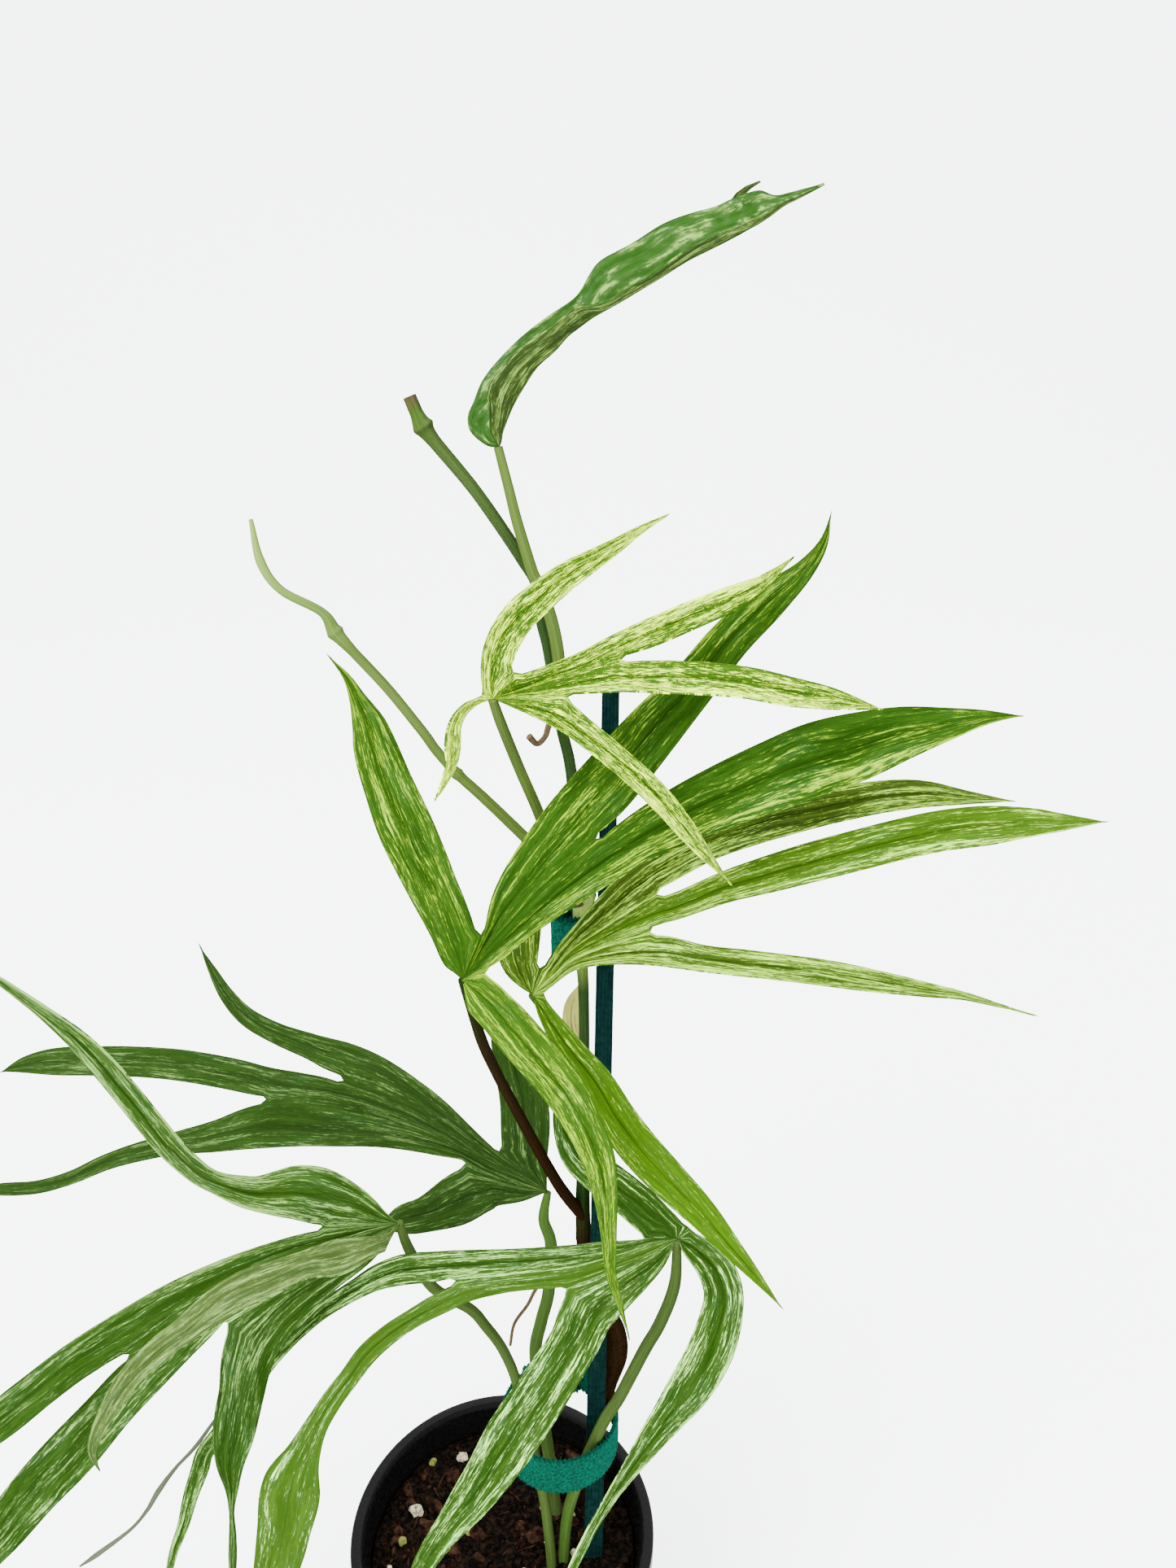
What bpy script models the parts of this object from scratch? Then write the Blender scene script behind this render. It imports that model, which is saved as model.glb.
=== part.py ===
"""A potted climbing aroid with deeply cut leaves, tied to a stake.

Metres, +Z up. The origin is the middle of the pot's flat base.
Leaves are named a to g, from the newest at the top to the lowest.
"""

import math
import random

import bmesh
import bpy
import numpy as np
from mathutils import Matrix, Vector

MM = 0.001
GAP = 0.3 * MM
WELD = 0.02 * MM

# The pot and the soil in it.
POT_HEIGHT = 80 * MM
POT_FOOT = 32 * MM
POT_NECK = 42.4 * MM
POT_RIM = 45 * MM
POT_WALL = 1.3 * MM
RIM_DROP = 7 * MM
RIM_ROUND = 1.2 * MM
POT_SIDES = 48
DRAIN_HOLES = 6
DRAIN_RADIUS = 4 * MM
DRAIN_RING = 21 * MM
DRAIN_SIDES = 12
SOIL_TOP = POT_HEIGHT - 9 * MM
SOIL_RINGS = 5
SOIL_ROUGHNESS = 0.7 * MM
BARK_CHIPS = 34
CHIP_SIZES = ((3, 9), (3, 6), (2, 4))
CHIP_MARGIN = 8 * MM
CHIP_LEAN = 0.4
SEED = 7

# The stake and the two bands of plant tape.
STAKE_FOOT = (26.4 * MM, -4 * MM, 32 * MM)
STAKE_TOP = (30.2 * MM, 0, 349 * MM)
STAKE_WIDTHS = (5.8 * MM, 3.6 * MM)
STAKE_THICK = 1.5 * MM
STAKE_ROUND = 0.35 * MM
TAPE_WIDTH = 12.7 * MM
TAPE_THICK = 1.4 * MM
LOOP_MIDDLE = (17.5 * MM, 0, 124 * MM)
LOOP_RADIUS = 16.5 * MM
LOOP_SIDES = 40
WRAP_HEIGHT = 284.6 * MM
WRAP_LEFT = 20.9 * MM
WRAP_RIGHT = 29.4 * MM
WRAP_RADIUS = 2.75 * MM
WRAP_SIDES = 24

# Leaves: a blade is a fan of long lobes that grow together near the petiole.
# A lobe's edges rise above its rib by FOLD of its half width, and each half bows by ARCH of it.
BLADE = 0.7 * MM
FOLD = 0.16
ARCH = 0.1
ROLL_BOW = 0.16
EDGE_WAVE = 0.5 * MM
EDGE_WAVES = 2.2
WAVE_SHIFT = 0.3
CALM_TIP = 6
ROW_STEP = 8 * MM
FEWEST_ROWS = 7
MOST_ROWS = 16
COLUMNS = 4
LEAST_WIDTH = 1.0
EDGE_ROUND = 1.6
STEM_STEPS = 2

# How the plant's points were read: from an eye in front of the pot that looks down a little.
# A reading is (right, down) in sight units, and a depth behind the pot's middle in millimetres.
SIGHT_MIDDLE = (722.5, 963.5)
SIGHT_LENGTH = 1455.0
SIGHT_PITCH = math.radians(24)
EYE = Vector((25.4 * MM, -233.2 * MM, POT_HEIGHT + 346.6 * MM))


def sight(right, down):
    """The direction in which the eye sees this reading."""
    across = (float(right) - SIGHT_MIDDLE[0]) / SIGHT_LENGTH
    drop = (float(down) - SIGHT_MIDDLE[1]) / SIGHT_LENGTH
    forward = math.cos(SIGHT_PITCH) - drop * math.sin(SIGHT_PITCH)
    return Vector((across, forward, -math.sin(SIGHT_PITCH) - drop * math.cos(SIGHT_PITCH)))


def seen(right, down, back):
    """The point at this depth, in millimetres behind the pot's middle, that the eye sees there."""
    ray = sight(right, down)
    return EYE + (float(back) * MM - EYE.y) / ray.y * ray


def seen_on(right, down, point, facing):
    """The point that the eye sees there on the plane through a point."""
    ray = sight(right, down)
    return EYE + (point - EYE).dot(facing) / ray.dot(facing) * ray


def smooth(points, steps=8):
    """A smooth curve through the points, as an array of close positions."""
    knots = [2 * points[0] - points[1], *points, 2 * points[-1] - points[-2]]
    curve = []
    for before, start, end, after in zip(knots, knots[1:], knots[2:], knots[3:]):
        for step in range(steps):
            t = step / steps
            curve.append(
                0.5
                * (
                    2 * start
                    + (end - before) * t
                    + (2 * before - 5 * start + 4 * end - after) * t**2
                    + (3 * start - before - 3 * end + after) * t**3
                )
            )
    return np.array([*curve, points[-1]])


def lengths(curve):
    """Each position's share of the way along the curve, and the curve's whole length."""
    reach = np.concatenate([[0], np.cumsum(np.linalg.norm(np.diff(curve, axis=0), axis=1))])
    return reach / reach[-1], float(reach[-1])


def at_shares(curve, shares):
    """Positions at these shares of the curve's length."""
    known = lengths(curve)[0]
    return [Vector(place) for place in zip(*(np.interp(shares, known, curve[:, axis]) for axis in range(3)))]


def material(name, colour, roughness, metallic=0.0):
    made = bpy.data.materials.new(name)
    made.use_nodes = True
    shader = made.node_tree.nodes["Principled BSDF"]
    shader.inputs["Base Color"].default_value = (*colour, 1)
    shader.inputs["Roughness"].default_value = roughness
    shader.inputs["Metallic"].default_value = metallic
    return made


def piece(name, mesh, finish, smooth_angle=40):
    """A new object from a bmesh, with its own material."""
    data = bpy.data.meshes.new(name)
    mesh.to_mesh(data)
    mesh.free()
    made = bpy.data.objects.new(name, data)
    bpy.context.scene.collection.objects.link(made)
    data.materials.append(material(name, *finish))
    data.shade_smooth()
    data.set_sharp_from_angle(angle=math.radians(smooth_angle))
    return made


def as_cutter(made):
    made.hide_render = True
    made.display_type = "WIRE"
    return made


def cut(target, cutter):
    modifier = target.modifiers.new(f"clear_of_{cutter.name}", "BOOLEAN")
    modifier.operation = "DIFFERENCE"
    modifier.solver = "EXACT"
    modifier.object = cutter


def tube(name, finish, route, radii, grow=0.0, longer=0.0):
    """A stem along the route, with a radius for each of the route's points, in millimetres.

    Grown and lengthened, it is the cutter that leaves a clear seat for the same stem.
    """
    stations = [Vector(place) for place in smooth(route, STEM_STEPS)]
    knots = np.arange(len(radii)) * STEM_STEPS
    widths = np.interp(range(len(stations)), knots, np.array(radii) * MM) + grow
    if longer:
        stations[0] += longer * (stations[0] - stations[1]).normalized()
        stations[-1] += longer * (stations[-1] - stations[-2]).normalized()
    line = bpy.data.curves.new(name, "CURVE")
    line.dimensions = "3D"
    line.bevel_depth = 1
    line.bevel_resolution = 2
    line.use_fill_caps = True
    line.twist_mode = "MINIMUM"
    spline = line.splines.new("POLY")
    spline.points.add(len(stations) - 1)
    for knot, place, width in zip(spline.points, stations, widths):
        knot.co = (*place, 1)
        knot.radius = width
    guide = bpy.data.objects.new(f"{name}_line", line)
    bpy.context.scene.collection.objects.link(guide)
    graph = bpy.context.evaluated_depsgraph_get()
    skin = bmesh.new()
    skin.from_mesh(bpy.data.meshes.new_from_object(guide.evaluated_get(graph)))
    bmesh.ops.remove_doubles(skin, verts=skin.verts, dist=WELD)
    bmesh.ops.recalc_face_normals(skin, faces=skin.faces)
    bmesh.ops.triangulate(skin, faces=skin.faces)
    bpy.data.objects.remove(guide)
    return piece(name, skin, finish)


def stem(name, finish, route, radii):
    """A tube, and its grown copy that cuts the clearance for it."""
    made = tube(name, finish, route, radii)
    clearance = as_cutter(tube(f"{name}_clearance", finish, route, radii, GAP, GAP))
    return made, clearance


class Lobe:
    """One long lobe of a blade, as read along its middle: (right, down, back, width seen there)."""

    def __init__(self, *readings, facing=None, facing_tip=None, over=False):
        self.readings = [np.array(reading, float) for reading in readings]
        self.facing = facing
        self.facing_tip = facing_tip
        self.over = over

    def lay(self, base, facing):
        """Smooths the readings, out from the blade's base."""
        self.line = smooth([np.array((*base, 0.0)), *self.readings])
        self.curve = np.array([seen(*reading[:3]) for reading in self.line])
        self.shares, self.length = lengths(self.curve)
        self.rows = min(max(round(self.length / ROW_STEP), FEWEST_ROWS), MOST_ROWS)
        self.face = Vector(self.facing or facing).normalized()
        self.face_tip = Vector(self.facing_tip or self.facing or facing).normalized()

    def nearest(self, point):
        """The share of the lobe's length that lies closest to the point, a little out from the base."""
        found = self.shares[np.argmin(np.linalg.norm(self.curve - np.array(point), axis=1))]
        return max(float(found), ROW_STEP / 2 / self.length)

    def reading(self, share):
        return np.array([np.interp(share, self.shares, self.line[:, part]) for part in range(4)])

    def edge(self, share, side, rib):
        """The lobe's edge at this share of its length, lifted from its own plane towards the eye."""
        right, down, _, width = self.reading(share)
        across, drop, _, _ = self.reading(share + 0.01) - self.reading(share - 0.01)
        turn = (-side if self.over else side) * max(width / 2 - EDGE_ROUND, LEAST_WIDTH) / math.hypot(across, drop)
        flat = seen_on(right - drop * turn, down + across * turn, rib, self.face.lerp(self.face_tip, share))
        ripple = EDGE_WAVE * math.sin(math.tau * (EDGE_WAVES * share + WAVE_SHIFT * side))
        ripple *= min(1, CALM_TIP * (1 - share))
        lift = (FOLD * (flat - rib).length + ripple) * (-1 if self.over else 1)
        return flat + lift * (EYE - flat).normalized()


def lobe_faces(mesh, lobe, seams):
    """Adds the lobe's grid. The seam it has on its left or right is a list of points, or None."""
    stops = {0: [0.0], lobe.rows: [1.0]}
    for seam in filter(None, seams):
        stops.setdefault(len(seam) - 1, []).append(lobe.nearest(seam[-1]))
    places = sorted(float(np.mean(shares)) for shares in stops.values())
    shares = [float(share) for share in np.interp(range(lobe.rows + 1), sorted(stops), places)]
    grid = bmesh.ops.create_grid(mesh, x_segments=COLUMNS, y_segments=lobe.rows, size=1.0)["verts"]
    for vert in grid:
        across = vert.co.x
        row = round((vert.co.y + 1) / 2 * lobe.rows)
        rib = seen(*lobe.reading(shares[row])[:3])
        seam = seams[1 if across > 0 else 0]
        if row in (0, lobe.rows):
            edge = rib
        elif seam and row < len(seam):
            edge = seam[row]
        else:
            edge = lobe.edge(shares[row], math.copysign(1, across), rib)
        spread = abs(across)
        arch = ARCH * (edge - rib).length * math.sin(math.pi * spread) * (-1 if lobe.over else 1)
        vert.co = rib.lerp(edge, spread) + arch * (EYE - rib).normalized()


def blade(name, finish, base, facing, lobes, seams):
    """A leaf's blade: its lobes, clockwise from one side of the petiole to the other."""
    for lobe in lobes:
        lobe.lay(base, facing)
    laid = [None]
    for place, readings in enumerate(seams):
        curve = smooth([seen(*base), *(seen(*reading) for reading in readings)])
        most = min(lobe.rows for lobe in lobes[place : place + 2]) - 2
        rows = min(max(round(lengths(curve)[1] / ROW_STEP), 1), most)
        laid.append(at_shares(curve, np.linspace(0, 1, rows + 1)))
    laid.append(None)
    mesh = bmesh.new()
    for place, lobe in enumerate(lobes):
        lobe_faces(mesh, lobe, laid[place : place + 2])
    return thickened(name, mesh, finish)


def thickened(name, mesh, finish):
    """A sheet's object, with the thickness of a blade round it."""
    bmesh.ops.remove_doubles(mesh, verts=mesh.verts, dist=WELD)
    bmesh.ops.triangulate(mesh, faces=mesh.faces)
    made = piece(name, mesh, finish)
    solid = made.modifiers.new("thickness", "SOLIDIFY")
    solid.thickness = BLADE
    solid.offset = 0
    return made


def rolled_blade(name, finish, stations, spur_row, spur):
    """A half-rolled blade: each station reads its far edge, its rib and its near edge."""
    rows = len(stations) - 1
    lines = [[seen(*reading) for reading in station] for station in stations]
    mesh = bmesh.new()
    grid = bmesh.ops.create_grid(mesh, x_segments=2 * COLUMNS - 2, y_segments=rows, size=1.0)["verts"]
    far_edge = {}
    for vert in grid:
        across = vert.co.x
        row = round((vert.co.y + 1) / 2 * rows)
        far, rib, near = lines[row]
        if across < WELD - 1:
            far_edge[row] = vert
        edge = near if across > 0 else far
        outward = ((rib + edge) / 2 - (far + rib + near) / 3).normalized()
        bulge = ROLL_BOW * (edge - rib).length * math.sin(math.pi * abs(across))
        vert.co = rib.lerp(edge, abs(across)) + bulge * outward
    root = [far_edge[spur_row], far_edge[spur_row + 1]]
    for readings in spur:
        tips = [mesh.verts.new(seen(*reading)) for reading in readings]
        mesh.faces.new([*root, *reversed(tips)])
        root = tips
    bmesh.ops.recalc_face_normals(mesh, faces=mesh.faces)
    return thickened(name, mesh, finish)


# Colours and roughness, as seen.
LEAF_GREEN = ((0.14, 0.30, 0.04), 0.4)
LEAF_CREAM = ((0.42, 0.52, 0.20), 0.42)
LEAF_LIME = ((0.20, 0.38, 0.05), 0.4)
LEAF_DARK = ((0.06, 0.16, 0.05), 0.42)
PETIOLE_GREEN = ((0.14, 0.24, 0.07), 0.4)
VINE_GREEN = ((0.05, 0.13, 0.05), 0.42)
VINE_BROWN = ((0.06, 0.03, 0.02), 0.7)
ROOT_BROWN = ((0.20, 0.09, 0.04), 0.7)
SHEATH_PALE = ((0.42, 0.44, 0.28), 0.6)
DRY_GREY = ((0.30, 0.28, 0.24), 0.8)
TAPE_TEAL = ((0.01, 0.20, 0.14), 0.85)
STAKE_TEAL = ((0.005, 0.045, 0.05), 0.4)
POT_BLACK = ((0.012, 0.012, 0.013), 0.35)
SOIL_BROWN = ((0.035, 0.02, 0.014), 0.95)

# Leaf a, the newest: still half rolled, with one small second tip on its far edge.
A_STATIONS = [
    [(612, 549, -1), (612, 549, -1), (612, 549, -1)],
    [(596, 546, 2), (615, 543, -1), (609, 543, -3)],
    [(579, 532, 5), (617, 531, -1), (604, 533, -5)],
    [(575, 513, 6), (622, 517, -1.5), (601, 512, -6)],
    [(582, 494, 6.5), (631, 496, -2), (599, 490, -7)],
    [(593, 468, 6.5), (645, 472, -2), (603, 470, -7)],
    [(612, 443, 6.5), (660, 450, -2), (619, 446, -7)],
    [(641, 414, 6), (681, 431, -2), (645, 424, -7)],
    [(672, 390, 5), (697, 413, -2), (677, 402, -6)],
    [(699, 372, 4), (711, 402, -2), (698, 385, -5)],
    [(713, 358, 4), (729, 389, -2), (711, 375, -4.5)],
    [(727, 333, 5.5), (752, 376, -2), (737, 374, -5.5)],
    [(742, 318, 6.5), (782, 358, -2), (772, 354, -6.5)],
    [(776, 300, 7), (812, 340, -2), (800, 338, -6.5)],
    [(812, 277, 7), (846, 319, -2), (833, 314, -6.5)],
    [(848, 263, 6.5), (880, 302, -2), (866, 295, -6)],
    [(880, 254, 6), (905, 289, -2), (890, 284, -5.3)],
    [(899, 245, 6), (921, 280, -2), (908, 277, -4.8)],
    [(911, 240, 5.5), (932, 274, -2), (920, 271, -4.5)],
    [(934, 235, 4), (947, 264, -2), (940, 262, -3.7)],
    [(952, 241, 2.5), (963, 252, -1.5), (958, 249, -3)],
    [(975, 236, 1), (981, 243, -1), (978, 241, -2)],
    [(1013, 226, 0), (1013, 226, 0), (1013, 226, 0)],
]
A_SPUR_ROW = 17
A_SPUR = [[(907, 236, 6.5), (914, 234, 6.5)], [(934, 221, 7), (936, 223, 7)]]

# Leaf b: upper, the creamiest.
B_BASE = (605, 859, -28)
B_FACING = (0.05, -0.66, 0.75)
B_LOBES = [
    Lobe(
        (587, 863, -29, 8), (568, 873, -32, 18), (557, 893, -34, 22), (556, 917, -35, 23), (555, 938, -35, 16),
        (544, 965, -34, 8), (534, 984, -34, 0), facing=(0.5, -0.8, 0.3),
    ),
    Lobe(
        (602, 840, -28, 26), (604, 818, -28, 42), (614, 790, -27, 45), (637, 758, -26, 44),
        (667, 731, -24, 41), (702, 704, -22, 35), (745, 678, -20, 24), (783, 654, -19, 13),
        (824, 631, -18, 0), facing=(0.4, -0.7, 0.6),
    ),
    Lobe(
        (638, 847, -27, 14), (681, 831, -26, 26), (724, 814, -25, 34), (762, 795, -24, 36),
        (804, 776, -22, 37), (848, 757, -21, 36), (896, 737, -20, 32), (934, 718, -19, 20),
        (955, 702, -19, 11), (976, 684, -19, 0),
    ),
    Lobe(
        (638, 852, -28, 14), (702, 841, -28, 30), (756, 832, -29, 38), (810, 832, -30, 41),
        (863, 834, -31, 41), (917, 839, -32, 40), (970, 850, -34, 38), (1024, 859, -35, 28),
        (1087, 872, -37, 0),
    ),
    Lobe(
        (648, 868, -30, 20), (686, 880, -32, 32), (713, 898, -34, 31), (745, 922, -36, 32),
        (777, 949, -37, 32), (810, 981, -39, 31), (842, 1019, -41, 26), (871, 1055, -43, 15),
        (900, 1089, -44, 0),
    ),
]
B_SEAMS = [[(592, 855, -28.5)], [(631, 826, -27.5)], [(762, 811, -26.5)], [(697, 856, -30.5)]]

# Leaf c: the large one in the middle.
C_BASE = (568, 1204, -32)
C_FACING = (-0.05, -0.66, 0.75)
C_LOBES = [
    Lobe(
        (567, 1182, -32, 43), (552, 1137, -32, 55), (526, 1078, -33, 65), (499, 1019, -34, 70),
        (477, 965, -34, 63), (462, 922, -34, 56), (453, 890, -34, 43), (439, 858, -33, 22),
        (425, 831, -33, 11), (400, 802, -32, 0), facing=(-0.3, -0.75, 0.6),
    ),
    Lobe(
        (592, 1165, -31, 30), (620, 1118, -29.5, 50), (659, 1068, -27, 68), (702, 1015, -24, 78),
        (745, 965, -21, 77), (799, 901, -17, 70), (847, 847, -14, 59), (895, 788, -11, 53),
        (944, 740, -10, 46), (987, 702, -9, 27), (1012, 667, -8, 13), (1022, 627, -8, 0),
        facing=(-0.2, -0.7, 0.7),
    ),
    Lobe(
        (604, 1172, -32, 24), (640, 1138, -31, 36), (681, 1104, -30, 46), (734, 1064, -29, 56),
        (788, 1029, -28, 62), (842, 1000, -27, 72), (895, 976, -26, 81), (949, 954, -26, 88),
        (1003, 933, -26, 92), (1056, 917, -26, 85), (1110, 901, -27, 67), (1164, 890, -28, 42),
        (1212, 882, -29, 19), (1258, 880, -29, 0),
    ),
    Lobe(
        (590, 1220, -34, 50), (611, 1243, -35, 54), (642, 1279, -37, 57), (684, 1328, -39, 55),
        (712, 1372, -40, 50), (735, 1423, -40, 43), (744, 1470, -40, 31), (748, 1521, -39, 21),
        (751, 1568, -39, 15), (763, 1609, -38, 8), (774, 1648, -37, 0), facing=(-0.25, -0.85, 0.45),
    ),
]
C_SEAMS = [
    [(591, 1149, -32)],
    [(606, 1155, -31), (660, 1095, -29.5), (732, 1031, -27)],
    [(596, 1197, -33.5)],
]

# Leaf d: to the right, behind leaf c.
D_BASE = (654, 1223, -20)
D_FACING = (0.0, -0.66, 0.75)
D_LOBES = [
    Lobe(
        (645, 1205, -19.5, 24), (638, 1185, -18.5, 44), (635, 1155, -17, 56), (640, 1120, -15.5, 56),
        (650, 1085, -14.5, 44), (660, 1055, -14, 24), (668, 1035, -14, 0), facing=(-0.3, -0.8, 0.5),
    ),
    Lobe(
        (672, 1200, -19.5, 18), (700, 1161, -18, 22), (745, 1118, -16, 36), (795, 1076, -14, 48),
        (863, 1037, -13, 50), (917, 1017, -12, 50), (970, 1002, -12, 49), (1024, 990, -12, 45),
        (1078, 980, -12.5, 42), (1132, 976, -13, 35), (1185, 980, -14, 19), (1248, 985, -15, 0),
    ),
    Lobe(
        (676, 1204, -20, 8), (702, 1175, -19.5, 14), (750, 1148, -19.5, 26), (800, 1125, -19.5, 30),
        (836, 1113, -20, 32), (890, 1091, -20, 40), (944, 1075, -20.5, 47), (997, 1060, -21, 51),
        (1051, 1046, -21, 52), (1105, 1032, -21.5, 52), (1158, 1021, -22, 52), (1212, 1015, -22.5, 50),
        (1266, 1011, -23, 37), (1303, 1011, -23.5, 24), (1362, 1010, -24, 0),
    ),
    Lobe(
        (678, 1207, -20.5, 8), (706, 1185, -21, 14), (756, 1173, -22, 26), (810, 1170, -22.5, 36),
        (863, 1178, -23, 34), (917, 1184, -24, 35), (970, 1190, -25, 35), (1024, 1197, -26, 34),
        (1078, 1206, -27, 29), (1132, 1215, -28, 21), (1185, 1224, -28.5, 12), (1239, 1239, -29, 5),
        (1276, 1249, -29, 0),
    ),
    Lobe(
        (664, 1238, -21, 14), (680, 1262, -22, 26), (700, 1290, -23.5, 36), (732, 1332, -25.5, 46),
        (758, 1375, -27, 50), (784, 1410, -28.5, 52), (817, 1446, -30, 50), (859, 1488, -32, 41),
        (897, 1532, -33, 28), (928, 1568, -34, 16), (963, 1610, -34, 0), facing=(0.35, -0.8, 0.5),
    ),
]
D_SEAMS = [
    [(663, 1190, -19)],
    [(702, 1169, -19), (755, 1134, -18), (807, 1099, -17)],
    [(704, 1180, -20.5), (750, 1160, -20.5), (799, 1145, -20.5)],
    [(668, 1221, -20.8)],
]

# Leaf e: to the left, behind the vine, and the darkest.
E_BASE = (673, 1465, 14)
E_FACING = (-0.1, -0.5, 0.86)
E_LOBES = [
    Lobe(
        (640, 1466, 13, 24), (610, 1462, 12, 44), (593, 1466, 10.5, 50), (560, 1478, 8, 60),
        (521, 1493, 6, 46), (492, 1500, 5, 36), (464, 1513, 4, 0),
    ),
    Lobe(
        (645, 1453, 14, 10), (600, 1434, 14.8, 16), (560, 1414, 15.6, 26), (516, 1401, 16.5, 32),
        (464, 1393, 17.5, 36), (413, 1389, 18, 42), (361, 1386, 18.5, 48), (310, 1388, 19, 50),
        (258, 1398, 19, 39), (217, 1405, 19, 30), (170, 1416, 19, 25), (129, 1429, 18.5, 21),
        (88, 1447, 18, 18), (46, 1459, 16.5, 18), (0, 1462, 15, 17), (-30, 1465, 13.5, 8),
        (-50, 1466, 13, 0),
    ),
    Lobe(
        (645, 1448, 14.6, 8), (600, 1425, 15.8, 12), (540, 1390, 18, 20), (480, 1362, 20, 26),
        (420, 1344, 22.5, 32), (370, 1336, 25, 36), (330, 1330, 27, 38), (289, 1321, 29, 41),
        (227, 1310, 31, 41), (170, 1305, 32, 39), (113, 1304, 33, 38), (67, 1305, 34, 35),
        (31, 1309, 34, 22), (0, 1318, 34, 0),
    ),
    Lobe(
        (645, 1443, 15, 10), (613, 1423, 16, 14), (583, 1400, 17, 18), (542, 1365, 19, 26),
        (505, 1338, 21.5, 30), (464, 1314, 24.5, 34), (430, 1301, 27, 38), (405, 1294, 29, 38),
        (382, 1286, 31, 34), (340, 1270, 34, 28), (304, 1250, 37, 25), (278, 1222, 39, 20),
        (260, 1191, 41, 12), (244, 1159, 42, 0),
    ),
    Lobe(
        (662, 1448, 15, 26), (652, 1428, 16.5, 44), (647, 1382, 19, 60), (642, 1341, 21, 60),
        (632, 1305, 23, 54), (622, 1274, 24, 40), (618, 1248, 25, 26), (616, 1217, 25, 0),
        facing=(-0.2, -0.85, 0.4),
    ),
]
E_SEAMS = [
    [(640, 1458, 13.6), (600, 1444, 13.2), (572, 1429, 12.8)],
    [(645, 1450, 14.4), (600, 1429, 15.4), (540, 1398, 17.5), (480, 1375, 19.5), (420, 1359, 21),
     (370, 1353, 21.8), (327, 1351, 22)],
    [(645, 1446, 14.8), (600, 1421, 16), (540, 1382, 18.5), (480, 1350, 21), (422, 1328, 24)],
    [(613, 1415, 16.5)],
]

# Leaf f: lower left, in front. Its first lobe curls over and shows its pale underside.
F_BASE = (490, 1503, -22)
F_FACING = (-0.15, -0.6, 0.78)
F_LOBES = [
    Lobe(
        (479, 1520, -28.5, 14), (458, 1531, -35, 26), (415, 1545, -40.5, 46), (373, 1555, -45, 36),
        (330, 1572, -49, 44), (300, 1584, -52, 46), (268, 1603, -55, 44), (225, 1636, -58, 35),
        (190, 1662, -60, 32), (160, 1692, -61, 30), (140, 1722, -61, 26), (122, 1755, -60, 20),
        (114, 1780, -59, 14), (118, 1798, -58, 6), (123, 1808, -58, 0),
        facing=(-0.25, -0.5, 0.8), facing_tip=(-0.1, -0.85, 0.5), over=True,
    ),
    Lobe(
        (455, 1535, -25, 26), (400, 1570, -29, 42), (355, 1600, -33, 60), (322, 1640, -38, 58),
        (305, 1675, -41, 60), (297, 1712, -43, 57), (291, 1740, -44, 56), (286, 1770, -45, 51),
        (283, 1800, -45.5, 36), (285, 1830, -46, 18), (285, 1858, -46, 8), (286, 1890, -46, 11),
        (286, 1926, -46, 11), (286, 1965, -46, 0), facing=(-0.35, -0.8, 0.4),
    ),
    Lobe(
        (440, 1522, -24, 22), (360, 1556, -27, 32), (290, 1594, -31, 42), (235, 1634, -35, 50),
        (180, 1684, -39, 58), (136, 1731, -42, 58), (87, 1786, -45, 65), (42, 1834, -47, 62),
        (5, 1880, -48, 56), (-30, 1925, -48, 42), (-60, 1975, -48, 20), (-75, 2000, -48, 0),
    ),
    Lobe(
        (440, 1514, -23, 22), (360, 1534, -26, 30), (290, 1560, -29, 38), (220, 1594, -33, 44),
        (155, 1632, -36, 46), (101, 1667, -39, 48), (53, 1703, -41, 48), (0, 1746, -43, 48),
        (-45, 1785, -44, 32), (-90, 1820, -45, 0),
    ),
    Lobe(
        (468, 1495, -22, 20), (440, 1482, -23, 44), (400, 1470, -25, 68), (370, 1466, -27, 70),
        (343, 1467, -28, 60), (316, 1467, -29, 46), (295, 1463, -30, 40), (265, 1453, -31, 30),
        (241, 1439, -32, 31), (211, 1412, -33, 33), (185, 1381, -34, 34), (156, 1345, -35, 34),
        (125, 1309, -36, 32), (95, 1278, -37, 27), (58, 1248, -38, 19), (24, 1223, -38.5, 14),
        (-10, 1200, -39, 10), (-40, 1187, -39, 0), facing=(-0.5, -0.6, 0.6),
    ),
]
F_SEAMS = [
    [(470, 1538, -27)],
    [(430, 1540, -25), (350, 1585, -30), (280, 1625, -35)],
    [(430, 1519, -24), (340, 1549, -28), (250, 1600, -33), (159, 1664, -37)],
    [(440, 1505, -22.5), (396, 1508, -24)],
]

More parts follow.
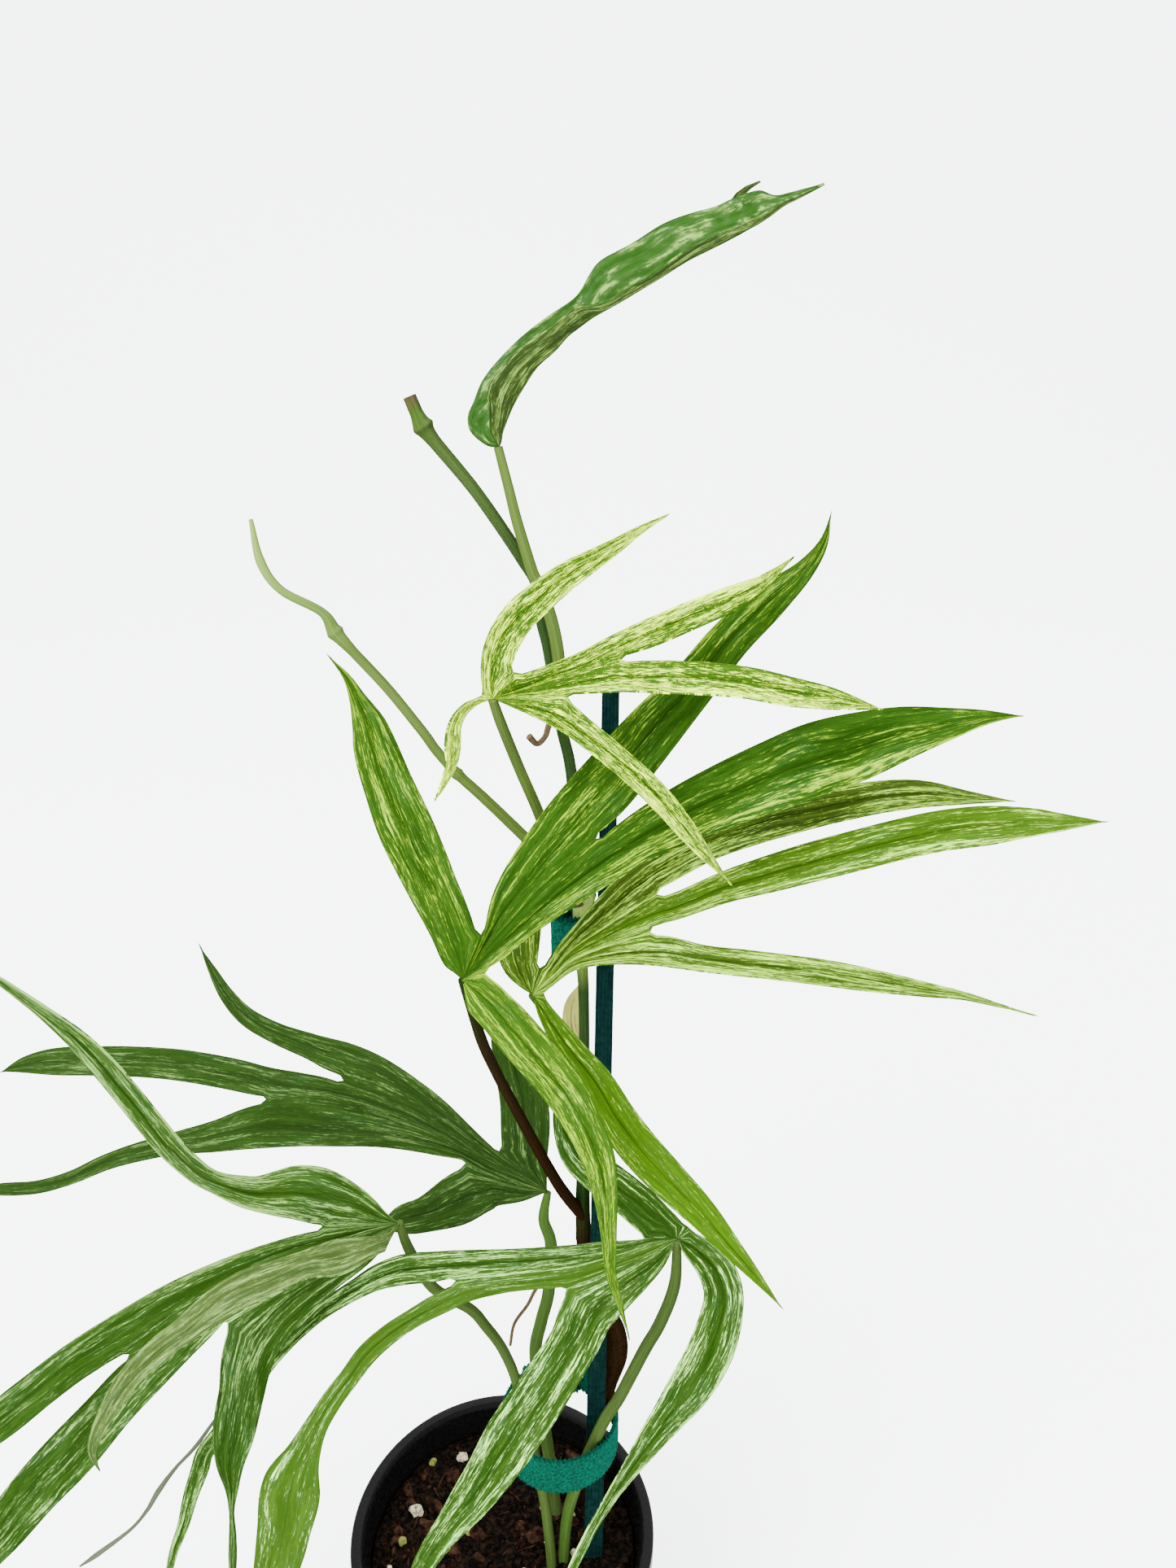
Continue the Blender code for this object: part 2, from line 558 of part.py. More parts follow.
# Leaf g: lower right, in front of the pot.
G_BASE = (832, 1522, -20)
G_FACING = (0.0, -0.62, 0.78)
G_LOBES = [
    Lobe(
        (808, 1549, -22.2, 24), (772, 1577, -25, 44), (728, 1612, -29, 60), (706, 1650, -32, 62),
        (680, 1690, -36, 66), (655, 1728, -39, 69), (630, 1765, -42, 70), (605, 1805, -44, 62),
        (577, 1845, -46, 52), (548, 1882, -47, 38), (527, 1912, -48, 31), (518, 1928, -48, 27),
        (505, 1955, -48, 18), (490, 1985, -48, 0), facing=(-0.3, -0.8, 0.5),
    ),
    Lobe(
        (795, 1539, -22, 12), (745, 1557, -24.5, 18), (700, 1570, -27, 22), (640, 1577, -30, 20),
        (582, 1586, -33, 24), (545, 1601, -35, 27), (510, 1619, -37, 26), (478, 1640, -39, 27),
        (450, 1665, -41, 28), (430, 1692, -43, 27), (408, 1721, -44.5, 28), (387, 1755, -46, 32),
        (372, 1788, -47, 46), (360, 1818, -48, 70), (355, 1845, -48, 76), (349, 1880, -48, 68),
        (343, 1912, -48, 62), (330, 1965, -48, 46), (320, 2005, -48, 26), (312, 2040, -48, 0),
    ),
    Lobe(
        (795, 1526, -20.8, 8), (753, 1536, -22, 24), (700, 1544, -23.5, 30), (640, 1550, -25.5, 34),
        (582, 1554, -27, 38), (540, 1557, -28, 40), (500, 1560, -28.5, 40), (467, 1569, -29, 34),
        (440, 1583, -29, 27), (400, 1608, -28.5, 23), (373, 1632, -28, 18), (347, 1658, -27.5, 17),
        (325, 1685, -27, 17), (295, 1728, -26, 19), (270, 1760, -25.5, 21), (252, 1785, -25, 23),
        (246, 1805, -25, 24), (234, 1840, -25, 20), (225, 1875, -25, 16), (214, 1905, -25, 13),
        (208, 1930, -25, 10), (200, 1960, -25, 0),
    ),
    Lobe(
        (818, 1506, -18.5, 30), (800, 1492, -17, 42), (775, 1472, -14.5, 48), (745, 1450, -12.5, 50),
        (715, 1425, -10.5, 46), (700, 1400, -9.5, 38), (690, 1365, -9, 24), (685, 1335, -9, 0),
    ),
    Lobe(
        (845, 1530, -20.5, 24), (866, 1545, -21.5, 40), (882, 1565, -22.5, 48), (889, 1590, -24, 50),
        (886, 1618, -25, 54), (877, 1650, -26.5, 58), (863, 1680, -28, 58), (844, 1710, -29, 55),
        (822, 1740, -30, 44), (803, 1765, -31, 36), (784, 1792, -31.5, 27), (763, 1822, -32, 19),
        (745, 1850, -32.5, 15), (727, 1880, -33, 13), (704, 1926, -34, 12), (690, 1952, -34, 0),
        facing=(0.35, -0.75, 0.5),
    ),
]
G_SEAMS = [
    [(790, 1545, -22.6), (740, 1567, -25.7), (696, 1584, -28)],
    [(792, 1531, -21.4), (740, 1547, -23.2), (690, 1558, -25.5), (620, 1568, -28.5), (560, 1574, -31)],
    [(791, 1523, -19)],
    [(846, 1508, -19.5)],
]


BASES = {"a": A_STATIONS[0][0], "b": B_BASE, "c": C_BASE, "d": D_BASE, "e": E_BASE, "f": F_BASE, "g": G_BASE}


def stem_route(readings):
    return [seen(*reading) for reading in readings]


VINE_UPPER = [
    (717, 1520, 1), (716, 1470, 0), (717, 1400, 0), (718, 1310, 0), (717, 1215, 0), (713, 1165, 0),
    (715, 1125, 0), (718, 1100, 0), (714, 1070, 0), (702, 950, 0), (689, 890, 0), (674, 800, 0),
    (665, 762, 0), (659, 718, 0), (642, 688, 0), (615, 647, 0), (580, 598, 0), (535, 544, 0),
    (520, 524, 0), (512, 508, 0), (503, 487, 0),
]
VINE_UPPER_RADII = [
    2.0, 1.8, 1.4, 1.25, 1.25, 1.5, 2.1, 2.5, 1.8, 1.25, 1.2, 1.2, 1.2, 1.2, 1.25, 1.25, 1.25, 1.35, 1.9,
    1.35, 1.3,
]
VINE_LOWER = [
    (717, 1523.5, 1), (724, 1560, 2), (742, 1605, 3), (756, 1637, 3.5), (757, 1665, 4), (748, 1696, 5),
    (735, 1740, 6), (722, 1800, 12), (715, 1850, 16),
]
VINE_LOWER_RADII = [2.1, 2.2, 2.4, 2.9, 3.2, 2.6, 2.4, 2.3, 2.2]
RUNNER = [
    (716, 1098, 1.5), (690, 1073, 3), (643, 1027, 3), (595, 981, 2.5), (562, 951, 2), (536, 922, 2),
    (520, 900, 2), (477, 847, 3), (434, 801, 4), (412, 777, 5), (395, 752, 5), (345, 725, 6),
    (320, 690, 7), (308, 638, 8),
]
RUNNER_RADII = [1.3, 1.3, 1.25, 1.2, 1.15, 1.1, 1.1, 1.1, 1.1, 1.6, 0.95, 0.9, 1.0, 0.45]

# Each petiole from its foot up, and how far its end stays below the base of its blade.
PETIOLES = {
    "a": ([(690, 865, -1), (686, 805, -3.4), (677, 760, -3.6), (664, 724, -3.4), (655, 705, -3.2),
           (647, 680, -3), (635, 640, -2.4), (625, 600, -1.8)],
          [1.25, 1.3, 1.3, 1.25, 1.2, 1.15, 1.1, 1.0, 0.9]),
    "b": ([(713, 1098, -1), (696, 1071, -5), (680, 1045, -8), (659, 992, -13), (638, 944, -18),
           (616, 890, -25)], [1.4, 1.25, 1.2, 1.15, 1.1, 1.05, 0.9]),
    "c": ([(716, 1494, 0), (694, 1467, -4), (679, 1444, -7), (653, 1398, -12), (622, 1341, -18),
           (608, 1314, -21), (591, 1276, -26)], [1.5, 1.5, 1.4, 1.3, 1.2, 1.2, 1.2, 0.9]),
    "d": ([(718, 1318, -1), (704, 1292, -5), (686, 1262, -12)], [1.5, 1.3, 1.2, 0.9]),
    "e": ([(684, 1862, 10), (676, 1800, 10), (666, 1730, 9), (658, 1663, 10), (665, 1624, 10.5),
           (674, 1588, 11), (677, 1530, 11.5), (668, 1498, 12.5)],
          [1.8, 1.8, 1.8, 1.8, 1.8, 1.75, 1.7, 1.5, 1.0]),
    "f": ([(680, 1990, -8), (678, 1926, -6), (674, 1883, -5), (668, 1840, -3), (650, 1755, 0),
           (635, 1700, -1), (627, 1677, -2), (614, 1652, -4), (597, 1630, -6), (578, 1609, -9.5),
           (532, 1582, -16), (504, 1538, -20)],
          [1.5, 1.5, 1.5, 1.5, 1.5, 1.4, 1.4, 1.4, 1.4, 1.4, 1.4, 1.3, 1.0]),
    "g": ([(690, 1950, -4), (696, 1870, -5), (708, 1825, -7), (724, 1785, -8), (743, 1745, -9.5),
           (760, 1719, -11), (776, 1689, -12.5), (793, 1657, -14), (812, 1624, -16), (829, 1578, -18)],
          [1.65, 1.65, 1.65, 1.65, 1.65, 1.65, 1.65, 1.65, 1.6, 1.5, 1.0]),
}
PETIOLE_SEATS = {"a": 0.6, "b": 0.7, "c": 1.3, "d": 1.65, "e": 1.0, "f": 1.15, "g": 1.8}

AERIAL_ROOTS = {
    "aerial_root_upper": ([(690, 893, -1), (676, 890, -3), (670, 905, -5), (660, 914, -6), (650, 905, -7)],
                          [0.8, 0.7, 0.6, 0.6, 0.75]),
    "aerial_root_middle": ([(717, 1108, -1), (706, 1112, -4), (698, 1105, -5)], [0.9, 0.7, 0.45]),
    "aerial_root_lower": ([(717, 1545, 0), (690, 1560, -3), (662, 1580, -5), (648, 1604, -6),
                           (632, 1627, -6.5), (627, 1653, -7)], [0.7, 0.6, 0.5, 0.45, 0.45, 0.4]),
}
OLD_SHEATH = [
    Lobe(
        (708, 1278, 3.6, 22), (703, 1255, 4.2, 26), (704, 1232, 4.5, 20), (712, 1208, 4, 0),
        facing=(-0.3, -0.9, 0.3),
    ),
]
OLD_SHEATH_BASE = (716, 1300, 2)
DRY_STRAND = [
    (264, 1745, -24.2), (240, 1778, -23.5), (215, 1805, -23), (195, 1832, -23), (180, 1857, -22),
    (160, 1880, -23), (120, 1910, -24), (98, 1925, -25),
]
DRY_STRAND_RADII = [0.45, 0.45, 0.45, 0.45, 0.45, 0.4, 0.4, 0.4]


def turned(name, finish, profile, sides):
    """A closed (radius, height) outline, turned once round the pot's axis."""
    mesh = bmesh.new()
    verts = [mesh.verts.new((radius, 0, height)) for radius, height in profile]
    edges = [mesh.edges.new(pair) for pair in zip(verts, verts[1:] + verts[:1])]
    bmesh.ops.spin(
        mesh, geom=edges, cent=(0, 0, 0), axis=(0, 0, 1), steps=sides, angle=math.tau, use_merge=True
    )
    bmesh.ops.remove_doubles(mesh, verts=mesh.verts, dist=WELD)
    bmesh.ops.dissolve_degenerate(mesh, edges=mesh.edges, dist=WELD)
    bmesh.ops.recalc_face_normals(mesh, faces=mesh.faces)
    return piece(name, mesh, finish)


def inner_radius(height):
    """The radius of the pot's inner wall at this height."""
    return POT_FOOT + (POT_NECK - POT_FOOT) * height / POT_HEIGHT - POT_WALL


def make_pot():
    skirt = POT_HEIGHT - RIM_DROP
    outline = [
        (0, 0),
        (POT_FOOT, 0),
        (POT_NECK, skirt),
        (POT_RIM - RIM_ROUND, skirt),
        (POT_RIM, skirt + RIM_ROUND),
        (POT_RIM, POT_HEIGHT - RIM_ROUND),
        (POT_RIM - RIM_ROUND, POT_HEIGHT),
        (inner_radius(POT_HEIGHT) + RIM_ROUND, POT_HEIGHT),
        (inner_radius(POT_HEIGHT), POT_HEIGHT - RIM_ROUND),
        (inner_radius(POT_WALL), POT_WALL),
        (0, POT_WALL),
    ]
    pot = turned("pot", POT_BLACK, outline, POT_SIDES)
    drains = bmesh.new()
    for number in range(DRAIN_HOLES):
        turn = Matrix.Rotation(math.tau * number / DRAIN_HOLES, 4, "Z")
        bmesh.ops.create_cone(
            drains, cap_ends=True, segments=DRAIN_SIDES, radius1=DRAIN_RADIUS, radius2=DRAIN_RADIUS,
            depth=6 * POT_WALL, matrix=turn @ Matrix.Translation((DRAIN_RING, 0, 0)),
        )
    cut(pot, as_cutter(piece("drain_holes", drains, POT_BLACK)))


def make_soil(clearances):
    """The filling: a rough top with chips of bark and perlite grown into it, and a hole for each stem."""
    draw = random.Random(SEED)
    floor = POT_WALL + GAP
    wall = inner_radius(SOIL_TOP) - GAP
    outline = [(0, floor), (inner_radius(floor) - GAP, floor), (wall, SOIL_TOP)]
    outline += [(wall * ring / SOIL_RINGS, SOIL_TOP) for ring in range(SOIL_RINGS - 1, -1, -1)]
    soil = turned("soil", SOIL_BROWN, outline, POT_SIDES // 2)
    for vert in soil.data.vertices:
        if vert.co.z > SOIL_TOP - WELD and vert.co.xy.length < wall - WELD:
            vert.co.z += draw.uniform(-SOIL_ROUGHNESS, SOIL_ROUGHNESS)
    chips = bpy.data.collections.new("chips")
    bpy.context.scene.collection.children.link(chips)
    for number in range(BARK_CHIPS):
        angle = draw.uniform(0, math.tau)
        reach = (wall - CHIP_MARGIN) * math.sqrt(draw.random())
        size = [draw.uniform(low, high) * MM for low, high in CHIP_SIZES]
        place = Matrix.Translation((reach * math.cos(angle), reach * math.sin(angle), SOIL_TOP))
        lean = Matrix.Rotation(draw.uniform(0, math.tau), 4, "Z")
        lean @= Matrix.Rotation(draw.uniform(-CHIP_LEAN, CHIP_LEAN), 4, "X")
        chip = bmesh.new()
        bmesh.ops.create_cube(chip, size=1, matrix=place @ lean @ Matrix.Diagonal((*size, 1)))
        made = piece(f"chip_{number}", chip, SOIL_BROWN)
        bpy.context.scene.collection.objects.unlink(made)
        chips.objects.link(made)
    join = soil.modifiers.new("chips", "BOOLEAN")
    join.operation = "UNION"
    join.operand_type = "COLLECTION"
    join.solver = "EXACT"
    join.collection = chips
    apply_modifiers(soil)
    for chip in list(chips.objects):
        bpy.data.objects.remove(chip)
    bpy.data.collections.remove(chips)
    for clearance in clearances:
        cut(soil, clearance)


def apply_modifiers(made):
    graph = bpy.context.evaluated_depsgraph_get()
    shape = bpy.data.meshes.new_from_object(made.evaluated_get(graph))
    made.modifiers.clear()
    made.data = shape


def strip(name, finish, grow=0.0):
    """The flat stake, wider at its foot than at its top."""
    mesh = bmesh.new()
    bmesh.ops.create_cube(mesh, size=1)
    for vert in mesh.verts:
        top = vert.co.z > 0
        width = STAKE_WIDTHS[top] + 2 * grow
        middle, depth, height = STAKE_TOP if top else STAKE_FOOT
        across = middle + math.copysign(width / 2, vert.co.x)
        behind = depth + math.copysign(STAKE_THICK / 2 + grow, vert.co.y)
        vert.co = (across, behind, height + math.copysign(grow, vert.co.z))
    bmesh.ops.bevel(
        mesh, geom=[edge for edge in mesh.edges if edge.is_manifold], offset=STAKE_ROUND, segments=1,
        affect="EDGES", profile=0.5, material=-1,
    )
    return piece(name, mesh, finish)


def band(name, finish, left, right, middle, radius, height, sides):
    """A standing band of tape round two uprights, left and right, or round one if they are the same."""
    mesh = bmesh.new()
    ring = bmesh.ops.create_circle(mesh, cap_ends=False, segments=sides, radius=radius)["verts"]
    for vert in ring:
        vert.co += Vector((right if vert.co.x > 0 else left, middle, height - TAPE_WIDTH / 2))
    wall = bmesh.ops.extrude_edge_only(mesh, edges=mesh.edges[:])
    raised = [item for item in wall["geom"] if isinstance(item, bmesh.types.BMVert)]
    bmesh.ops.translate(mesh, verts=raised, vec=(0, 0, TAPE_WIDTH))
    bmesh.ops.recalc_face_normals(mesh, faces=mesh.faces)
    made = piece(name, mesh, finish)
    wall_of_tape = made.modifiers.new("thickness", "SOLIDIFY")
    wall_of_tape.thickness = TAPE_THICK
    wall_of_tape.offset = 1
    wall_of_tape.use_even_offset = True
    return made


def make_ties():
    across, behind, height = LOOP_MIDDLE
    band("tie_lower", TAPE_TEAL, across, across, behind, LOOP_RADIUS, height, LOOP_SIDES)
    band("tie_upper", TAPE_TEAL, WRAP_LEFT, WRAP_RIGHT, 0, WRAP_RADIUS, WRAP_HEIGHT, WRAP_SIDES)


def make_leaves():
    rolled_blade("leaf_a_blade", LEAF_GREEN, A_STATIONS, A_SPUR_ROW, A_SPUR)
    blade("leaf_b_blade", LEAF_CREAM, B_BASE, B_FACING, B_LOBES, B_SEAMS)
    blade("leaf_c_blade", LEAF_GREEN, C_BASE, C_FACING, C_LOBES, C_SEAMS)
    blade("leaf_d_blade", LEAF_LIME, D_BASE, D_FACING, D_LOBES, D_SEAMS)
    blade("leaf_e_blade", LEAF_DARK, E_BASE, E_FACING, E_LOBES, E_SEAMS)
    blade("leaf_f_blade", LEAF_GREEN, F_BASE, F_FACING, F_LOBES, F_SEAMS)
    blade("leaf_g_blade", LEAF_GREEN, G_BASE, G_FACING, G_LOBES, G_SEAMS)
    blade("old_sheath", SHEATH_PALE, OLD_SHEATH_BASE, (0, -1, 0.2), OLD_SHEATH, [])


def make_stems():
    """The vine, what grows from it, and the clearances that the soil needs."""
    _, vine_clearance = stem("vine_upper", VINE_GREEN, stem_route(VINE_UPPER), VINE_UPPER_RADII)
    _, foot_clearance = stem("vine_lower", VINE_BROWN, stem_route(VINE_LOWER), VINE_LOWER_RADII)
    in_soil = [foot_clearance]
    grown = [tube("runner", PETIOLE_GREEN, stem_route(RUNNER), RUNNER_RADII)]
    for letter, (readings, radii) in PETIOLES.items():
        name = f"leaf_{letter}_petiole"
        route = stem_route(readings)
        top = seen(*BASES[letter])
        route.append(top + PETIOLE_SEATS[letter] * MM * (route[-1] - top).normalized())
        if letter in "efg":
            in_soil.append(stem(name, PETIOLE_GREEN, route, radii)[1])
        else:
            grown.append(tube(name, PETIOLE_GREEN, route, radii))
    for made in grown:
        cut(made, vine_clearance)
    for name, (readings, radii) in AERIAL_ROOTS.items():
        root = tube(name, ROOT_BROWN, stem_route(readings), radii)
        cut(root, foot_clearance if name.endswith("lower") else vine_clearance)
    tube("dry_strand", DRY_GREY, stem_route(DRY_STRAND), DRY_STRAND_RADII)
    return in_soil


def main():
    for made in list(bpy.data.objects):
        bpy.data.objects.remove(made)
    make_pot()
    in_soil = make_stems()
    make_leaves()
    make_ties()
    strip("stake", STAKE_TEAL)
    in_soil.append(as_cutter(strip("stake_clearance", STAKE_TEAL, GAP)))
    make_soil(in_soil)


main()
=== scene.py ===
import math
import random

import bmesh
import bpy
import numpy as np
from mathutils import Matrix, Vector, noise


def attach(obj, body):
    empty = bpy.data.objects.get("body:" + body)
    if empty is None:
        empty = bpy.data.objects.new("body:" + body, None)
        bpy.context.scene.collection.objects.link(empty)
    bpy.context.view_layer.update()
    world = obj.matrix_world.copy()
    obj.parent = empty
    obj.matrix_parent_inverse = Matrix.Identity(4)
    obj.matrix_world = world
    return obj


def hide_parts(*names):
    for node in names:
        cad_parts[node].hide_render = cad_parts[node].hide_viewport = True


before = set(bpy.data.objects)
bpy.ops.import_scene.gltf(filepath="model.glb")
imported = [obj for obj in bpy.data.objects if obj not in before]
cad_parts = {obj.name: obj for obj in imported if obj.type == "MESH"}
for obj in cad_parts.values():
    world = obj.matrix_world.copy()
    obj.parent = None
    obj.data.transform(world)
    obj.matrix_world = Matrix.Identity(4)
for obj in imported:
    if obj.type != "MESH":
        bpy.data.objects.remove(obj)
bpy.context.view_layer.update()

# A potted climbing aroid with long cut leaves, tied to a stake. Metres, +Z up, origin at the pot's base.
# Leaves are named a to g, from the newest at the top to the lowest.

MM = 0.001
WELD = 0.005 * MM
SEED = 7
HAIR = 0.0001
PATTERN_UNIT = 10 * MM

# How the plant's points were read: from an eye in front of the pot that looks down a little.
# A reading is (right, down) in sight units, and a depth behind the pot's middle in millimetres.
SIGHT_MIDDLE = (722.5, 963.5)
SIGHT_LENGTH = 1455.0
SIGHT_FRAME = 1927
SIGHT_PITCH = math.radians(24)
EYE = Vector((25.4 * MM, -233.2 * MM, 426.6 * MM))

# Blades. A lobe's edges rise above its rib by FOLD of its half width, and each half bows by ARCH of it.
# A lobe's own root look reaches ROOT_LONG from the base.
BLADE = 0.5 * MM
ROW_STEP = 1.3 * MM
FEWEST_ROWS = 14
COLUMNS = 16
LEAST_WIDTH = 0.5
EDGE_ROUND = 1.0
FOLD = 0.16
ARCH = 0.08
SHARE_STEP = 0.01
ROOT_LONG = 34 * MM

# The seams between lobes, and the round notches at their ends.
SEAM_LEAST = 4 * MM
SINUS_EASE = 14 * MM
SINUS_ROUND = 0.8 * MM
SINUS_LONG = 10 * MM
SINUS_MOST = 0.3

# The blades' relief. It grows over CALM_LONG from the base, and fades over the last 1 / TIP_FADE of a lobe.
CALM_LONG = 12 * MM
TIP_FADE = 6
GROOVE = 0.16 * MM
GROOVE_WIDE = 0.06
RIPPLE = 0.9 * MM
RIPPLE_LONG = 14 * MM
RIPPLE_TURN = 1.3
PLEAT = 0.13 * MM
PLEATS = 2
PLEAT_FULL = 5 * MM

# The half-rolled blade: rows from one station to the next, its bow, its ripple, and its pattern's step from one
# station to the next. Its second tip shows a patch of the same pattern.
ROLL_STEPS = 5
ROLL_BOW = 0.16
ROLL_RIPPLE = 0.5 * RIPPLE
ROLL_RIPPLE_FULL = 4 * MM
ROLL_RIPPLE_ROWS = 7
ROLL_PATTERN = 0.4
SPUR_ACROSS = (0.3, 0.5)
SPUR_ALONG = 0.3

# Stems: rows from one reading to the next, the collars at the nodes, and the side towards the lamps, which is painted
# lighter while the sides turned away get painted shade.
STEM_STEPS = 10
STEM_SIDES = 18
ROOT_SIDES = 12
TWIST_ROWS = 9
COLLAR = 0.28 * MM
COLLAR_LONG = 0.7 * MM
# Painted light and shade on the stems: their colour is lighter where their surface faces this way.
PAINTED_LIGHT_SIDE = Vector((-0.25, -0.82, 0.52))

# The pot, and the corners of its outline in millimetres.
POT_HEIGHT = 80 * MM
POT_FOOT = 32 * MM
POT_NECK = 42.4 * MM
POT_RIM = 45 * MM
POT_WALL = 1.3 * MM
POT_LIFT = 0.6 * MM
FOOT_RING = 5 * MM
RIM_DROP = 7 * MM
LIP_WIDE = 0.9 * MM
LIP_DROP = 1.5 * MM
POT_SIDES = 128
POT_CORNERS = (0.3, 0.3, 0.5, 0.2, 0.2, 0.5, 0.9, 0.9, 0.4, 0.4, 0.4)
DRAIN_HOLES = 6
DRAIN_RADIUS = 4 * MM
DRAIN_RING = 21 * MM
DRAIN_SIDES = 32

# The soil, and the kinds of loose pieces on it: name, finish, how many, sizes in millimetres, fineness and squash.
SOIL_TOP = 71 * MM
SOIL_REACH = 39.2 * MM
SOIL_SHOULDER = 1.5 * MM
SOIL_GAP = 0.3 * MM
SOIL_LUMP = 0.9 * MM
SOIL_LUMP_LONG = 7 * MM
SOIL_SINK = 1.0 * MM
SOIL_SIDES = 120
SOIL_RINGS = 40
CRUMB_MARGIN = 0.6 * MM
CRUMB_ROUGH = 0.55
CRUMB_GRAIN = 1.1
CRUMB_SCATTER = 900
CRUMB_STAND = 0.35
CRUMB_TILT = 0.5
CRUMBS = (
    ("soil_crumbs", "soil", 620, (0.5, 1.3), 1, (1, 0.8, 0.7)),
    ("bark_chips", "bark", 90, (1.4, 3.3), 2, (1, 0.62, 0.4)),
    ("soil_fibres", "bark", 70, (1.8, 4.0), 1, (1, 0.14, 0.12)),
    ("perlite", "perlite", 16, (0.8, 2.2), 2, (1, 0.9, 0.8)),
    ("feed_grains", "feed", 14, (0.9, 1.4), 2, (1, 1, 0.95)),
)

# The stake, in millimetres: its widths at foot and top, its thickness, its ribs and the middles of its two ends.
STAKE_WIDE = 5.8
STAKE_TOP_WIDE = 3.6
STAKE_THICK = 1.5
STAKE_RIBS = 5
STAKE_RIB = 0.12
STAKE_CORNER = 0.35
STAKE_POINTS = 40
STAKE_FOOT = (26.4, -4, 32)
STAKE_TOP = (30.2, 0, 349)

# The tape, and its bands: left and right end of the straight part, radius and height in millimetres, columns around,
# start as a share of the way round, and turns with the overlap. The loose end rises over its last stretch.
TAPE_WIDTH = 12.6 * MM
TAPE_TRIM = 0.6 * MM
TAPE_THICK = 1.1 * MM
TAPE_ROWS = 10
TAPE_FUZZ = 0.14 * MM
TAPE_FUZZ_SIZE = 1.1 * MM
TOOTH = 0.4 * MM
LAP_RISE = 1.25 * MM
LAP_FROM = 0.93
LAP_EASE = 0.07
BANDS = {
    "tie_lower": (17.5, 17.5, 16.5, 124, 160, 0.45, 1.16),
    "tie_upper": (20.9, 29.4, 2.75, 284.6, 64, 0.5, 1.3),
}

# The stage, in metres: the floor's length, where it starts and how it bends up, and each lamp's place, size and power.
FLOOR_LONG = 6.0
FLOOR_FLAT = 3.4
FLOOR_BEND = 1.2
FLOOR_FRONT = 2.0
FLOOR_SIDE = 4
FLOOR_DROP = 0.0005
PAPER = (0.86, 0.88, 0.9, 1.0)
SKY_LIGHT = 6.4
SENSOR = 36
AIM = Vector((0, 0, 0.2))
LAMPS = (
    ("light_key", (-0.9, -1.0, 1.5), 1.0, 96),
    ("light_fill", (1.2, -0.8, 1.0), 1.6, 20),
    ("light_back", (0.3, 1.3, 1.5), 1.6, 20),
)


# ---- Curves ----


def sight(right, down):
    """The direction in which the eye sees this reading."""
    across = (float(right) - SIGHT_MIDDLE[0]) / SIGHT_LENGTH
    drop = (float(down) - SIGHT_MIDDLE[1]) / SIGHT_LENGTH
    forward = math.cos(SIGHT_PITCH) - drop * math.sin(SIGHT_PITCH)
    return Vector((across, forward, -math.sin(SIGHT_PITCH) - drop * math.cos(SIGHT_PITCH)))


def seen(right, down, back):
    """The point at this depth, in millimetres behind the pot's middle, that the eye sees there."""
    ray = sight(right, down)
    return EYE + (float(back) * MM - EYE.y) / ray.y * ray


def seen_on(right, down, point, facing):
    """The point that the eye sees there on the plane through a point."""
    ray = sight(right, down)
    return EYE + (point - EYE).dot(facing) / ray.dot(facing) * ray


def smooth(points, steps=8):
    """A smooth curve through the points, as an array of close positions."""
    knots = [2 * points[0] - points[1], *points, 2 * points[-1] - points[-2]]
    curve = []
    for before, start, end, after in zip(knots, knots[1:], knots[2:], knots[3:]):
        for step in range(steps):
            t = step / steps
            place = 2 * start + (end - before) * t
            place = place + (2 * before - 5 * start + 4 * end - after) * t**2
            curve.append(0.5 * (place + (3 * start - before - 3 * end + after) * t**3))
    return np.array([*curve, points[-1]])


def travelled(curve):
    """How far along the curve each of its positions lies."""
    return np.concatenate([[0], np.cumsum(np.linalg.norm(np.diff(curve, axis=0), axis=1))])


def lengths(curve):
    """Each position's share of the way along the curve, and the curve's whole length."""
    reach = travelled(curve)
    return reach / reach[-1], float(reach[-1])


def at_shares(curve, shares):
    """Positions at these shares of the curve's length."""
    known = lengths(curve)[0]
    return [Vector(place) for place in zip(*(np.interp(shares, known, curve[:, axis]) for axis in range(3)))]


# ---- Blades ----


